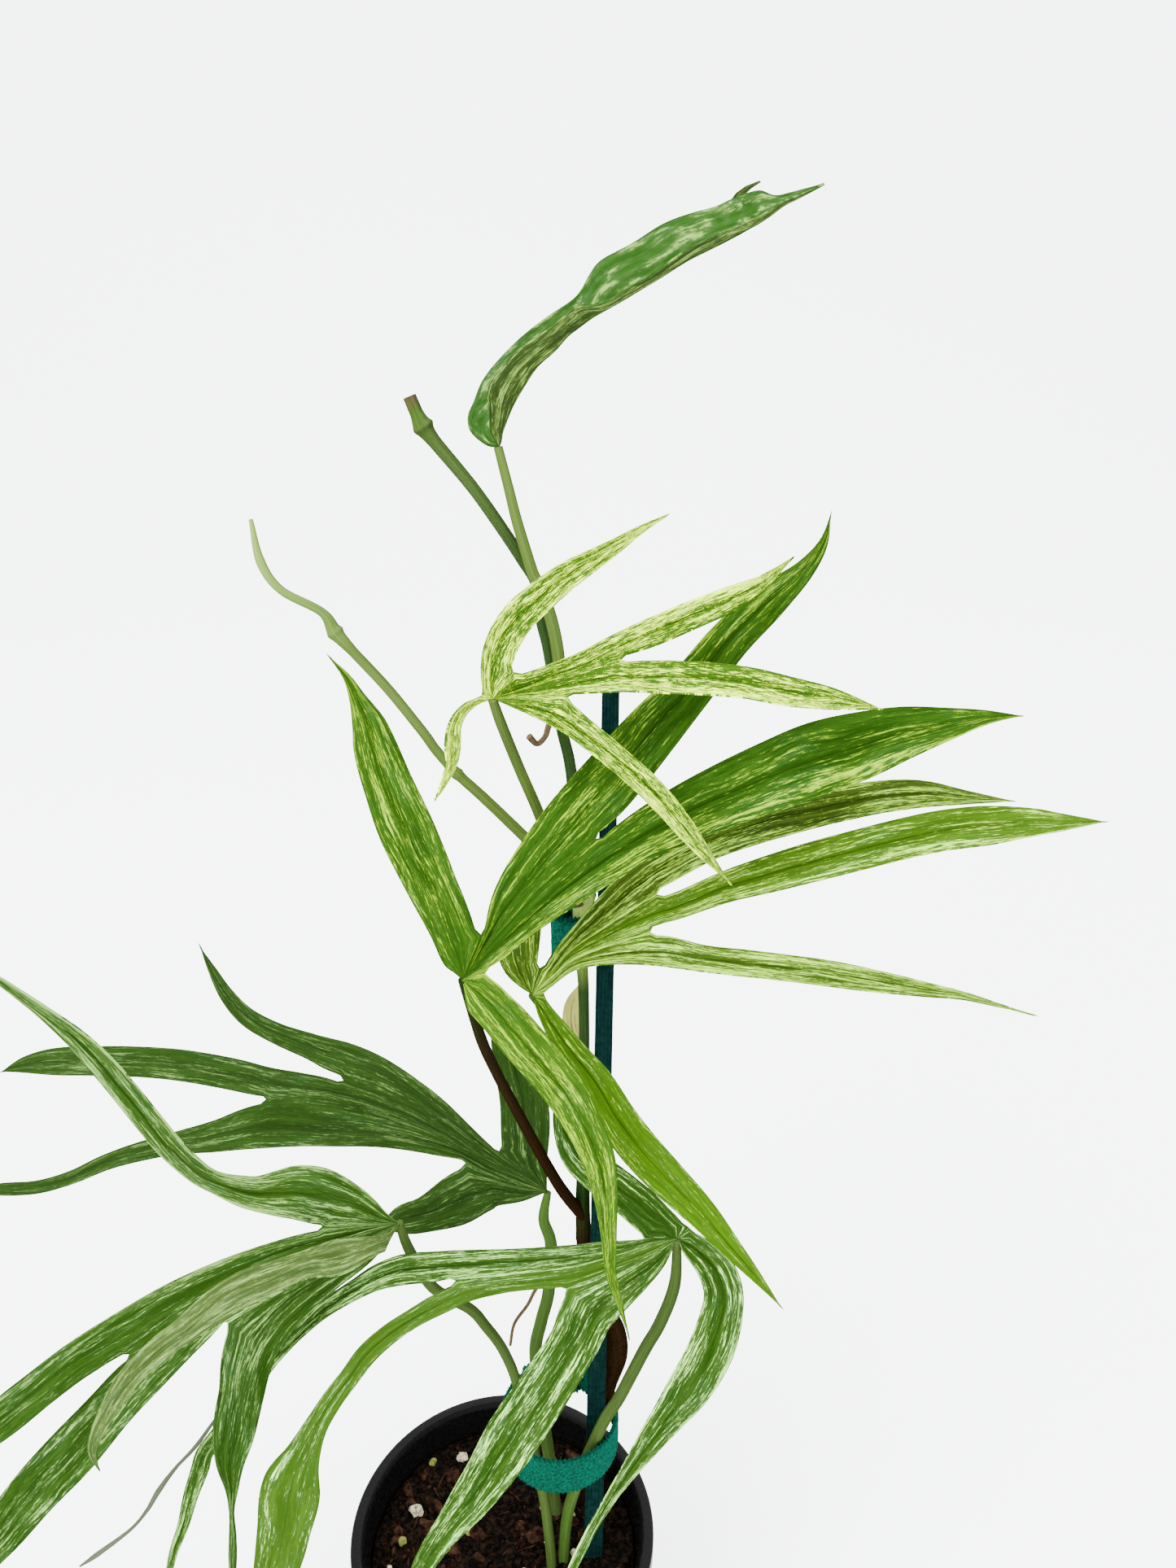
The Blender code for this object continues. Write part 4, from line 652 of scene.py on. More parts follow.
# Each petiole from its foot up, as readings and radii in millimetres. It ends at its blade's base.
PETIOLES = {
    "a": ([(690, 865, -1), (686, 805, -3.4), (677, 760, -3.6), (664, 724, -3.4), (655, 705, -3.2), (647, 680, -3),
           (635, 640, -2.4), (625, 600, -1.8)], [1.25, 1.3, 1.3, 1.25, 1.2, 1.15, 1.1, 1.0, 0.9]),
    "b": ([(713, 1098, -1), (696, 1071, -5), (680, 1045, -8), (659, 992, -13), (638, 944, -18), (616, 890, -25)],
          [1.4, 1.25, 1.2, 1.15, 1.1, 1.05, 0.9]),
    "c": ([(716, 1494, 0), (694, 1467, -4), (679, 1444, -7), (653, 1398, -12), (622, 1341, -18), (608, 1314, -21),
           (591, 1276, -26)], [1.5, 1.5, 1.4, 1.3, 1.2, 1.2, 1.2, 0.9]),
    "d": ([(718, 1318, -1), (704, 1292, -5), (686, 1262, -12)], [1.5, 1.3, 1.2, 0.9]),
    "e": ([(684, 1862, 10), (676, 1800, 10), (666, 1730, 9), (658, 1663, 10), (665, 1624, 10.5), (674, 1588, 11),
           (677, 1530, 11.5), (668, 1498, 12.5)], [1.8, 1.8, 1.8, 1.8, 1.8, 1.75, 1.7, 1.5, 1.0]),
    "f": ([(680, 1990, -8), (678, 1926, -6), (674, 1883, -5), (668, 1840, -3), (650, 1755, 0), (635, 1700, -1),
           (627, 1677, -2), (614, 1652, -4), (597, 1630, -6), (578, 1609, -9.5), (532, 1582, -16), (504, 1538, -20)],
          [1.5, 1.5, 1.5, 1.5, 1.5, 1.4, 1.4, 1.4, 1.4, 1.4, 1.4, 1.3, 1.0]),
    "g": ([(690, 1950, -4), (696, 1870, -5), (708, 1825, -7), (724, 1785, -8), (743, 1745, -9.5), (760, 1719, -11),
           (776, 1689, -12.5), (793, 1657, -14), (812, 1624, -16), (829, 1578, -18)],
          [1.65, 1.65, 1.65, 1.65, 1.65, 1.65, 1.65, 1.65, 1.6, 1.5, 1.0]),
}

# The roots that grow from the vine, the old sheath on it, and the dry strand below the leaves.
AERIAL_ROOTS = {
    "aerial_root_upper": ([(690, 893, -1), (676, 890, -3), (670, 905, -5), (660, 914, -6), (650, 905, -7)],
                          [0.8, 0.7, 0.6, 0.6, 0.75]),
    "aerial_root_middle": ([(717, 1108, -1), (706, 1112, -4), (698, 1105, -5)], [0.9, 0.7, 0.45]),
    "aerial_root_lower": ([(717, 1545, 0), (690, 1560, -3), (662, 1580, -5), (648, 1604, -6), (632, 1627, -6.5),
                           (627, 1653, -7)], [0.7, 0.6, 0.5, 0.45, 0.45, 0.4]),
}
SHEATH_LOBES = [
    Lobe((708, 1278, 3.6, 22), (703, 1255, 4.2, 26), (704, 1232, 4.5, 20), (712, 1208, 4, 0), facing=(-0.3, -0.9, 0.3)),
]
SHEATH_BASE = (716, 1300, 2)
SHEATH_FACING = (0, -1, 0.2)
DRY_STRAND = [
    (264, 1745, -24.2), (240, 1778, -23.5), (215, 1805, -23), (195, 1832, -23), (180, 1857, -22), (160, 1880, -23),
    (120, 1910, -24), (98, 1925, -25),
]
DRY_STRAND_RADII = [0.4, 0.6, 0.7, 0.75, 0.7, 0.65, 0.75, 0.3]


# ---- Shaders ----


class Graph:
    """A node tree with short ways to add nodes. Their values are numbers, colours or the outputs of other nodes."""

    def __init__(self, tree):
        self.tree = tree

    def feed(self, socket, value):
        """Gives the socket this value."""
        if isinstance(value, bpy.types.NodeSocket):
            self.tree.links.new(value, socket)
        else:
            socket.default_value = value

    def node(self, kind, *values, **settings):
        """A node whose first inputs get these values."""
        made = self.tree.nodes.new(f"ShaderNode{kind}")
        for key, value in settings.items():
            setattr(made, key, value)
        for socket, value in zip((one for one in made.inputs if one.enabled), values):
            self.feed(socket, value)
        return made

    def fed(self, kind, values, **settings):
        """The outputs of a node whose inputs get these values by name."""
        made = self.node(kind, **settings)
        for name, value in values.items():
            self.feed(made.inputs[name], value)
        return made.outputs

    def maths(self, operation, *values):
        """The result of this operation on numbers."""
        return self.node("Math", *values, operation=operation).outputs[0]

    def times(self, value, factor):
        """The value times the factor."""
        return self.maths("MULTIPLY", value, factor)

    def scaled(self, value, factor, start):
        """The value times the factor, plus the start."""
        return self.maths("MULTIPLY_ADD", value, factor, start)

    def centred(self, value):
        """A share as its distance from a half."""
        return self.maths("SUBTRACT", value, 0.5)

    def mix(self, share, first, second):
        """The mix of two colours. They are sockets 6 and 7 of the node, and output 2 is theirs."""
        made = self.node("Mix", data_type="RGBA")
        for place, value in ((0, share), (6, first), (7, second)):
            self.feed(made.inputs[place], value)
        return made.outputs[2]

    def tuned(self, colour, hue, saturation, value):
        """The colour with its hue turned, where a half leaves it, and its saturation and value scaled."""
        return self.node("HueSaturation", hue, saturation, value, 1.0, colour).outputs[0]

    def eased(self, value, low, high, least=0.0, most=1.0):
        """The value's smooth rise from least at low to most at high."""
        values = {"Value": value, "From Min": low, "From Max": high, "To Min": least, "To Max": most}
        return self.fed("MapRange", values, interpolation_type="SMOOTHSTEP")[0]

    def noise(self, place, scale, detail, roughness):
        """Noise at these coordinates, as a share."""
        return self.fed("TexNoise", {"Vector": place, "Scale": scale, "Detail": detail, "Roughness": roughness})[0]

    def streaked(self, place, stretch, detail=2.0, roughness=0.55):
        """Noise that is drawn out along some axes of the coordinates."""
        spread = self.node("VectorMath", place, stretch, operation="MULTIPLY").outputs[0]
        return self.noise(spread, 1.0, detail, roughness)

    def finish(self, shader, colour, roughness, height, depth):
        """Feeds the shader these, with the height as a relief of this depth in millimetres."""
        self.feed(shader["Base Color"], colour)
        self.feed(shader["Roughness"], roughness)
        self.feed(shader["Normal"], self.fed("Bump", {"Distance": depth * MM, "Height": height})[0])


def new_group(name, inputs, outputs):
    """A shader node group with these sockets, its input sockets by name and its output sockets by name."""
    tree = bpy.data.node_groups.new(name, "ShaderNodeTree")
    for way, sockets in (("INPUT", inputs), ("OUTPUT", outputs)):
        for label, kind in sockets.items():
            tree.interface.new_socket(label, in_out=way, socket_type=f"NodeSocket{kind}")
    return Graph(tree), tree.nodes.new("NodeGroupInput").outputs, tree.nodes.new("NodeGroupOutput").inputs


def new_material(name, gloss=0.0):
    """A material, its node tree and the inputs of its Principled shader."""
    made = bpy.data.materials.new(name)
    made.use_nodes = True
    shader = made.node_tree.nodes["Principled BSDF"].inputs
    shader["Specular IOR Level"].default_value = gloss
    return made, Graph(made.node_tree), shader


def variegation_group():
    """The leaf's cream streaks on green, which run along the lobes."""
    inputs = {"Pattern": "Vector", "Cream": "Float", "Lime": "Float", "Blotch": "Float", "Dash": "Float"}
    inputs.update({name: "Color" for name in TONE_NAMES})
    graph, given, put = new_group("variegation", inputs, {"Color": "Color", "Height": "Float", "Roughness": "Float"})
    place = given["Pattern"]
    drift = graph.streaked(place, (2.0, 0.7, 1.0), 1.0)
    across, along, _ = graph.node("SeparateXYZ", place).outputs
    bent = graph.node("CombineXYZ", graph.scaled(drift, 0.16, across), along, 0.0).outputs[0]
    dashes = graph.streaked(bent, (66.0, 4.2, 1.0), 3.0, 0.7)
    streaks = graph.streaked(bent, (26.0, 0.85, 1.0), 4.0, 0.7)
    bands = graph.streaked(bent, (6.0, 0.34, 1.0), 2.0, 0.5)
    blotches = graph.streaked(place, (6.0, 1.5, 1.0), 4.0, 0.65)
    streaks = graph.scaled(given["Blotch"], graph.maths("SUBTRACT", blotches, streaks), streaks)
    from_rib = graph.maths("ABSOLUTE", graph.centred(graph.maths("FRACT", across)))
    rib = graph.eased(from_rib, 0.0, 0.022, 1.0, 0.0)
    rib_zone = graph.eased(from_rib, 0.02, 0.2, 1.0, 0.0)

    level = graph.maths("ADD", graph.times(graph.centred(given["Cream"]), 0.56), graph.times(graph.centred(bands), 0.7))
    level = graph.maths("ADD", level, graph.times(rib_zone, -0.02))
    coarse = graph.scaled(graph.centred(streaks), 1.4, level)
    fine = graph.scaled(graph.centred(dashes), given["Dash"], coarse)
    milky = graph.eased(coarse, -0.24, 0.16)
    pale = graph.eased(fine, -0.03, 0.16)
    greens = graph.scaled(graph.centred(dashes), 0.6, graph.streaked(bent, (9.0, 0.5, 4.0), 4.0, 0.7))
    deep = graph.eased(graph.scaled(rib_zone, -0.04, greens), 0.38, 0.64, 1.0, 0.0)
    deep = graph.times(deep, graph.scaled(given["Lime"], -0.45, 0.95))

    mint = graph.tuned(given["Milky"], 0.53, 0.85, 1.0)
    soft = graph.mix(graph.eased(drift, 0.48, 0.66), given["Milky"], mint)
    base = graph.mix(given["Lime"], given["Fresh"], given["Bright"])
    base = graph.mix(deep, base, given["Deep"])
    base = graph.mix(graph.times(milky, 0.72), base, soft)
    base = graph.mix(graph.times(pale, 0.92), base, given["Pale"])
    graph.feed(put["Color"], graph.mix(graph.times(rib, 0.4), base, given["Rib"]))
    graph.feed(put["Height"], graph.scaled(dashes, 0.35, graph.streaked(place, (34.0, 0.4, 1.0))))
    graph.feed(put["Roughness"], graph.scaled(streaks, 0.25, 0.28))
    return graph.tree


def leaf_finish(name, group, blotch, dash, tones):
    """A leaf face's material. Its own maps hold the place in the pattern, and how cream and how lime it is."""
    made, graph, shader = new_material(name)
    place = graph.node("UVMap", uv_map="pattern").outputs[0]
    cream, lime, _ = graph.node("SeparateXYZ", graph.node("UVMap", uv_map="look").outputs[0]).outputs
    values = {"Pattern": place, "Cream": cream, "Lime": lime, "Blotch": blotch, "Dash": dash, **tones}
    outputs = graph.fed("Group", values, node_tree=group)
    graph.finish(shader, outputs["Color"], outputs["Roughness"], outputs["Height"], 0.12)
    return made


def skin_group():
    """A stem's skin: fine lines along it, darker flecks and a low relief."""
    inputs = {"Place": "Vector", "Tint": "Color", "Contrast": "Float", "Flecks": "Float"}
    graph, given, put = new_group("stem_skin", inputs, {"Color": "Color", "Height": "Float", "Roughness": "Float"})
    turn, along, _ = graph.node("SeparateXYZ", given["Place"]).outputs
    turn = graph.times(turn, math.tau)
    ring = graph.node("CombineXYZ", graph.maths("COSINE", turn), graph.maths("SINE", turn), along).outputs[0]
    lines = graph.streaked(ring, (3.4, 3.4, 0.5), 4.0, 0.7)
    flecks = graph.streaked(ring, (4.0, 4.0, 14.0), 2.0, 0.6)
    dark = graph.tuned(given["Tint"], 0.5, 1.1, 0.45)
    light = graph.tuned(given["Tint"], 0.5, 0.9, 1.5)
    dull = graph.tuned(given["Tint"], 0.5, 1.05, 0.8)
    base = graph.mix(graph.times(graph.eased(lines, 0.3, 0.7), given["Contrast"]), dull, light)
    spots = graph.times(graph.eased(flecks, 0.52, 0.72), given["Flecks"])
    graph.feed(put["Color"], graph.mix(spots, base, dark))
    graph.feed(put["Height"], graph.scaled(flecks, given["Flecks"], lines))
    graph.feed(put["Roughness"], graph.scaled(lines, 0.25, 0.3))
    return graph.tree


def stem_finish(name, group, contrast, flecks, depth):
    """A stem's material. Its own map and tint follow the stem, and its colour has painted light and shade: lighter on
    the side towards the lamps, darker on the sides turned away.
    """
    made, graph, shader = new_material(name)
    place = graph.node("UVMap", uv_map="pattern").outputs[0]
    tint = graph.node("Attribute", attribute_name="tint").outputs[0]
    values = {"Place": place, "Tint": tint, "Contrast": contrast, "Flecks": flecks}
    outputs = graph.fed("Group", values, node_tree=group)
    # Painted light and shade: the colour's value goes from 0.62 on the sides turned away to 1.12 on the side towards
    # the lamps.
    outward = graph.node("TexCoord").outputs["Normal"]
    painted_light = graph.node("VectorMath", outward, PAINTED_LIGHT_SIDE, operation="DOT_PRODUCT").outputs["Value"]
    shade = graph.tuned(outputs["Color"], 0.5, 1.0, graph.eased(painted_light, 0.0, 0.95, 0.62, 1.12))
    graph.finish(shader, shade, outputs["Roughness"], outputs["Height"], depth)
    return made


def grain_group():
    """Two tones in grains of one size, with the grains as relief."""
    inputs = {"Place": "Vector", "Size": "Float", "Dark": "Color", "Light": "Color", "Low": "Float", "High": "Float"}
    graph, given, put = new_group("grain", inputs, {"Color": "Color", "Height": "Float", "Mask": "Float"})
    grain = graph.noise(given["Place"], given["Size"], 5.0, 0.62)
    mask = graph.eased(grain, given["Low"], given["High"])
    graph.feed(put["Color"], graph.mix(mask, given["Dark"], given["Light"]))
    graph.feed(put["Height"], grain)
    graph.feed(put["Mask"], mask)
    return graph.tree


def grain_finish(group, name, size, dark, light, span, roughness, depth, gloss=0.0):
    """A finish with grains in two tones."""
    made, graph, shader = new_material(name, gloss)
    place = graph.node("TexCoord").outputs["Object"]
    values = {"Place": place, "Size": size, "Dark": dark, "Light": light, "Low": span[0], "High": span[1]}
    outputs = graph.fed("Group", values, node_tree=group)
    rough = graph.eased(outputs["Mask"], 0.0, 1.0, *roughness)
    graph.finish(shader, outputs["Color"], rough, outputs["Height"], depth)
    return made


# ---- Pieces ----


def new_object(name, data):
    """An object in the scene that shows this data."""
    made = bpy.data.objects.new(name, data)
    bpy.context.scene.collection.objects.link(made)
    return made


def new_mesh_object(name, mesh):
    """An object in the scene that shows this mesh."""
    data = bpy.data.meshes.new(name)
    mesh.to_mesh(data)
    mesh.free()
    return new_object(name, data)


def new_piece(name, mesh, finishes, nodes, smooth_angle=50):
    """A finished piece in the place of its nodes."""
    made = new_mesh_object(name, mesh)
    for finish in finishes:
        made.data.materials.append(finish)
    made.data.shade_smooth()
    made.data.set_sharp_from_angle(angle=math.radians(smooth_angle))
    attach(made, "root")
    if nodes:
        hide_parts(*nodes)
    return made


def make_stem(name, finish, readings, radii, tints, end_tint=None, collars=(), sides=STEM_SIDES, flat=1.0):
    """A round stem along its readings. Tints are colours at some of the readings, by number."""
    curve = smooth([seen(*reading) for reading in readings], STEM_STEPS)
    places = [Vector(place) for place in curve]
    last = len(places) - 1
    knots = np.arange(len(radii)) * STEM_STEPS
    widths = [float(width) for width in np.interp(range(len(places)), knots, np.array(radii) * MM)]
    for row, width in enumerate(widths):
        nearest = min(((places[row] - places[knot * STEM_STEPS]).length for knot in collars), default=1)
        widths[row] = width + COLLAR * math.exp(-((nearest / COLLAR_LONG) ** 2))
    known = sorted(tints)
    parts = [
        np.interp(range(len(places)), np.array(known) * STEM_STEPS, [tints[knot][part] for knot in known])
        for part in range(3)
    ]
    shades = [(*shade, 1) for shade in zip(*parts)]
    along = travelled(curve) / PATTERN_UNIT
    frames = []
    side = Vector((1, 0, 0))
    for row in range(len(places)):
        ahead = (places[min(row + 1, last)] - places[max(row - 1, 0)]).normalized()
        side = (side - side.dot(ahead) * ahead).normalized()
        frames.append((side.copy(), ahead.cross(side)))
    mesh = bmesh.new()
    pattern = mesh.loops.layers.uv.new("pattern")
    tint = mesh.loops.layers.float_color.new("tint")
    for vert, across, row in fine_grid(mesh, sides, last):
        turn = (across + 1) / 2
        around = math.tau * turn
        twist = 0 if flat == 1 else row / TWIST_ROWS
        rim = Matrix.Rotation(twist, 2) @ Vector((math.cos(around), flat * math.sin(around)))
        vert.co = places[row] + widths[row] * (rim.x * frames[row][0] + rim.y * frames[row][1])
        for loop in vert.link_loops:
            loop[pattern].uv = (turn, along[row])
            loop[tint] = shades[row]
    bmesh.ops.remove_doubles(mesh, verts=mesh.verts, dist=WELD)
    open_ends = [edge for edge in mesh.edges if edge.is_boundary]
    for face in bmesh.ops.holes_fill(mesh, edges=open_ends)["faces"]:
        middle = face.calc_center_median()
        row = last if (middle - places[-1]).length < (middle - places[0]).length else 0
        for loop in face.loops:
            loop[pattern].uv = (0.5, along[row])
            loop[tint] = end_tint if row and end_tint else shades[row]
    bmesh.ops.recalc_face_normals(mesh, faces=mesh.faces)
    new_piece(f"{name}_skin", mesh, [finish], [name], smooth_angle=60)


def spun(name, profile, steps, finish, nodes):
    """A closed (radius, height) outline, turned once round the pot's axis."""
    mesh = bmesh.new()
    verts = [mesh.verts.new((radius, 0, height)) for radius, height in profile]
    edges = [mesh.edges.new(pair) for pair in zip(verts, verts[1:])]
    bmesh.ops.spin(mesh, geom=edges, cent=(0, 0, 0), axis=(0, 0, 1), steps=steps, angle=math.tau, use_merge=True)
    bmesh.ops.remove_doubles(mesh, verts=mesh.verts, dist=WELD)
    bmesh.ops.dissolve_degenerate(mesh, edges=mesh.edges, dist=WELD)
    bmesh.ops.recalc_face_normals(mesh, faces=mesh.faces)
    return new_piece(name, mesh, [finish], nodes)


def inner_radius(height):
    """The radius of the pot's inner wall at this height."""
    return POT_FOOT + (POT_NECK - POT_FOOT) * height / POT_HEIGHT - POT_WALL


def rounded(points, radii, steps=5):
    """The outline with its corners rounded."""
    made = [points[0]]
    for before, corner, after, radius in zip(points, points[1:], points[2:], radii):
        start, middle, end = Vector(before), Vector(corner), Vector(after)
        first = middle + (start - middle).normalized() * radius
        last = middle + (end - middle).normalized() * radius
        for step in range(steps + 1):
            t = step / steps
            made.append(tuple(first.lerp(middle, t).lerp(middle.lerp(last, t), t)))
    return [*made, points[-1]]


def make_pot(finish):
    """The pot's turned shell, with its drain holes cut out.

    Its outline runs from the middle of the base out to the foot, up the wall, over the rim and down inside.
    """
    skirt = POT_HEIGHT - RIM_DROP
    mouth = inner_radius(POT_HEIGHT)
    outline = [
        (0, POT_LIFT), (POT_FOOT - 3 * MM, POT_LIFT), (POT_FOOT - 2 * MM, 0), (POT_FOOT, 0),
        (POT_FOOT + 0.65 * MM, FOOT_RING), (POT_FOOT + 0.25 * MM, FOOT_RING + 0.4 * MM),
        (POT_NECK - 0.3 * MM, skirt), (POT_RIM, skirt), (POT_RIM, POT_HEIGHT), (mouth + LIP_WIDE, POT_HEIGHT),
        (mouth, POT_HEIGHT - LIP_DROP), (inner_radius(POT_WALL), POT_WALL), (0, POT_WALL),
    ]
    outline = rounded(outline, [part * MM for part in POT_CORNERS])
    pot = spun("pot_shell", outline, POT_SIDES, finish, ["pot"])
    drains = bmesh.new()
    for number in range(DRAIN_HOLES):
        turn = Matrix.Rotation(math.tau * number / DRAIN_HOLES, 4, "Z")
        bmesh.ops.create_cone(
            drains, cap_ends=True, segments=DRAIN_SIDES, radius1=DRAIN_RADIUS, radius2=DRAIN_RADIUS,
            depth=6 * POT_WALL, matrix=turn @ Matrix.Translation((DRAIN_RING, 0, 0)),
        )
    cutter = new_mesh_object("drains", drains)
    cut = pot.modifiers.new("drains", "BOOLEAN")
    cut.operation = "DIFFERENCE"
    cut.solver = "EXACT"
    cut.object = cutter
    shape = bpy.data.meshes.new_from_object(pot.evaluated_get(bpy.context.evaluated_depsgraph_get()))
    pot.modifiers.clear()
    pot.data = shape
    bpy.data.objects.remove(cutter)


def soil_height(right, back):
    """The soil's height, rough and a little lower at the wall."""
    lumps = noise.fractal(Vector((right, back, 0)) / SOIL_LUMP_LONG, 1.0, 2.1, 4)
    reach = math.hypot(right, back) / SOIL_REACH
    return SOIL_TOP + SOIL_LUMP * lumps - SOIL_SINK * reach**6


def lump(mesh, place, size, turn, fineness, squash):
    """Adds one uneven crumb."""
    matrix = Matrix.Translation(place) @ turn @ Matrix.Diagonal((*(size * part for part in squash), 1))
    made = bmesh.ops.create_icosphere(mesh, subdivisions=fineness, radius=1.0)["verts"]
    shift = Vector(place) * CRUMB_SCATTER
    for vert in made:
        vert.co *= 1 + CRUMB_ROUGH * noise.noise(vert.co * CRUMB_GRAIN + shift)
    bmesh.ops.transform(mesh, verts=made, matrix=matrix)


def make_soil(finishes):
    """The soil's bed with its rough top, and the loose pieces on it."""
    floor = POT_WALL + SOIL_GAP
    outline = [(0, floor), (inner_radius(floor) - SOIL_GAP, floor), (SOIL_REACH, SOIL_TOP - SOIL_SHOULDER)]
    outline += [(SOIL_REACH * ring / SOIL_RINGS, SOIL_TOP) for ring in range(SOIL_RINGS, -1, -1)]
    bed = spun("soil_bed", outline, SOIL_SIDES, finishes["soil"], ["soil"])
    for vert in bed.data.vertices:
        if vert.co.z > SOIL_TOP - MM:
            vert.co.z = soil_height(vert.co.x, vert.co.y)
    draw = random.Random(SEED)
    for name, finish, count, sizes, fineness, squash in CRUMBS:
        mesh = bmesh.new()
        for _ in range(count):
            angle = draw.uniform(0, math.tau)
            size = draw.uniform(*sizes) * MM
            reach = (SOIL_REACH - CRUMB_MARGIN - size) * math.sqrt(draw.random())
            right, back = reach * math.cos(angle), reach * math.sin(angle)
            turn = Matrix.Rotation(draw.uniform(0, math.tau), 4, "Z")
            turn @= Matrix.Rotation(draw.uniform(-CRUMB_TILT, CRUMB_TILT), 4, "X")
            height = soil_height(right, back) + CRUMB_STAND * size * squash[2]
            lump(mesh, (right, back, height), size, turn, fineness, squash)
        new_piece(name, mesh, [finishes[finish]], [])


def make_stake(finish):
    """The flat stake: a strip with fine ribs along both faces, wider at its foot."""
    mesh = bmesh.new()
    outline = []
    for face in (-1, 1):
        for step in range(STAKE_POINTS + 1):
            across = -face * (2 * step / STAKE_POINTS - 1)
            ridge = STAKE_RIB * MM * (1 - math.cos(math.tau * STAKE_RIBS * step / STAKE_POINTS))
            corner = STAKE_CORNER * MM if step in (0, STAKE_POINTS) else 0
            outline.append((across * STAKE_WIDE * MM / 2, face * (STAKE_THICK * MM / 2 - ridge - corner)))
    face = mesh.faces.new([mesh.verts.new((right, back, 0)) for right, back in outline])
    raised = bmesh.ops.extrude_face_region(mesh, geom=[face])["geom"]
    top = [item for item in raised if isinstance(item, bmesh.types.BMVert)]
    for vert in mesh.verts:
        high = vert in top
        vert.co.x *= STAKE_TOP_WIDE / STAKE_WIDE if high else 1
        vert.co += Vector(STAKE_TOP if high else STAKE_FOOT) * MM
    bmesh.ops.recalc_face_normals(mesh, faces=mesh.faces)
    new_piece("stake_strip", mesh, [finish], ["stake"])


def make_band(name, finish, left, right, radius, height, around, start, turns):
    """A band of soft hook tape round two uprights, with small hooks along its edges and an overlapping end."""
    left, right, radius, height = left * MM, right * MM, radius * MM, height * MM
    half, straight = math.pi * radius, right - left
    whole = math.tau * radius + 2 * straight
    mesh = bmesh.new()
    pattern = mesh.loops.layers.uv.new("pattern")
    grid = bmesh.ops.create_grid(mesh, x_segments=round(around * turns), y_segments=TAPE_ROWS, size=1.0)["verts"]
    for vert in grid:
        way = (vert.co.x + 1) / 2 * turns
        level = (vert.co.y + 1) / 2
        far = (way + start) % 1 * whole
        if far < half:
            angle, middle = -math.pi / 2 + far / radius, right
        elif far < half + straight:
            angle, middle = math.pi / 2, right - (far - half)
        elif far < 2 * half + straight:
            angle, middle = math.pi / 2 + (far - half - straight) / radius, left
        else:
            angle, middle = -math.pi / 2, left + (far - 2 * half - straight)
        gone = max(0, min(1, (way - LAP_FROM) / LAP_EASE))
        out = radius + LAP_RISE * gone * gone * (3 - 2 * gone)
        out += TAPE_FUZZ * noise.noise(Vector((way * whole, level * TAPE_WIDTH, 0)) / TAPE_FUZZ_SIZE)
        tooth = TOOTH * (1 if round(way * around) % 2 else -1) * (level < HAIR or level > 1 - HAIR)
        rise = height + (level - 0.5) * (TAPE_WIDTH - TAPE_TRIM) + tooth
        vert.co = Vector((out * math.cos(angle), out * math.sin(angle), 0)) + Vector((middle, 0, rise))
        for loop in vert.link_loops:
            loop[pattern].uv = (way * whole / MM, level * TAPE_WIDTH / MM)
    bmesh.ops.recalc_face_normals(mesh, faces=mesh.faces)
    solid = new_piece(f"{name}_tape", mesh, [finish], [name]).modifiers.new("thickness", "SOLIDIFY")
    solid.thickness = TAPE_THICK
    solid.offset = 1


# ---- Looks ----


def tone(red, green, blue):
    """A colour, from the thousandths of the light that it returns."""
    return (red / 1000, green / 1000, blue / 1000, 1.0)


TONE_NAMES = ("Fresh", "Deep", "Milky", "Pale", "Bright", "Rib")


def face_tones(*colours):
    """A leaf face's colours by name."""
    return {name: tone(*colour) for name, colour in zip(TONE_NAMES, colours)}


LEAF_TONES = {
    "a": face_tones((10, 33, 5), (5, 20, 2), (28, 60, 16), (104, 186, 34), (12, 38, 4), (42, 63, 16)),
    "b": face_tones((16, 45, 3), (9, 27, 2), (49, 108, 14), (602, 880, 1), (23, 61, 2), (14, 34, 4)),
    "c": face_tones((7, 25, 2), (4, 15, 1), (24, 58, 7), (156, 268, 1), (20, 52, 3), (4, 13, 1)),
    "d": face_tones((24, 42, 5), (8, 17, 2), (38, 72, 10), (264, 479, 31), (24, 66, 1), (8, 20, 2)),
    # Leaf e's tones are painted darker than the others, as painted shade behind the vine.
    "e": face_tones((8, 20, 3), (5, 13, 2), (13, 28, 7), (59, 108, 26), (10, 27, 3), (18, 34, 13)),
    "f": face_tones((9, 25, 3), (4, 13, 1), (24, 48, 13), (121, 225, 49), (15, 38, 3), (10, 24, 5)),
    "g": face_tones((10, 27, 3), (4, 15, 1), (29, 56, 15), (270, 525, 113), (21, 50, 4), (9, 25, 3)),
}
UNDER_TONES = face_tones((20, 35, 8), (11, 21, 4), (43, 68, 20), (104, 171, 39), (22, 43, 7), (51, 78, 22))
ROLLED_TONES = face_tones((10, 19, 4), (6, 12, 2), (20, 33, 9), (90, 157, 26), (12, 23, 4), (29, 44, 14))
SHEATH_TONES = face_tones((51, 50, 16), (30, 23, 9), (94, 94, 28), (204, 203, 47), (55, 59, 14), (51, 46, 15))
BLOTCHES = {"a": 1.0, "b": 0.4, "c": 0.1, "d": 0.1, "e": 0.1, "f": 0.1, "g": 0.1}
DASHES = {"a": 0.4, "b": 2.6, "c": 1.1, "d": 1.1, "e": 1.0, "f": 0.9, "g": 0.9}

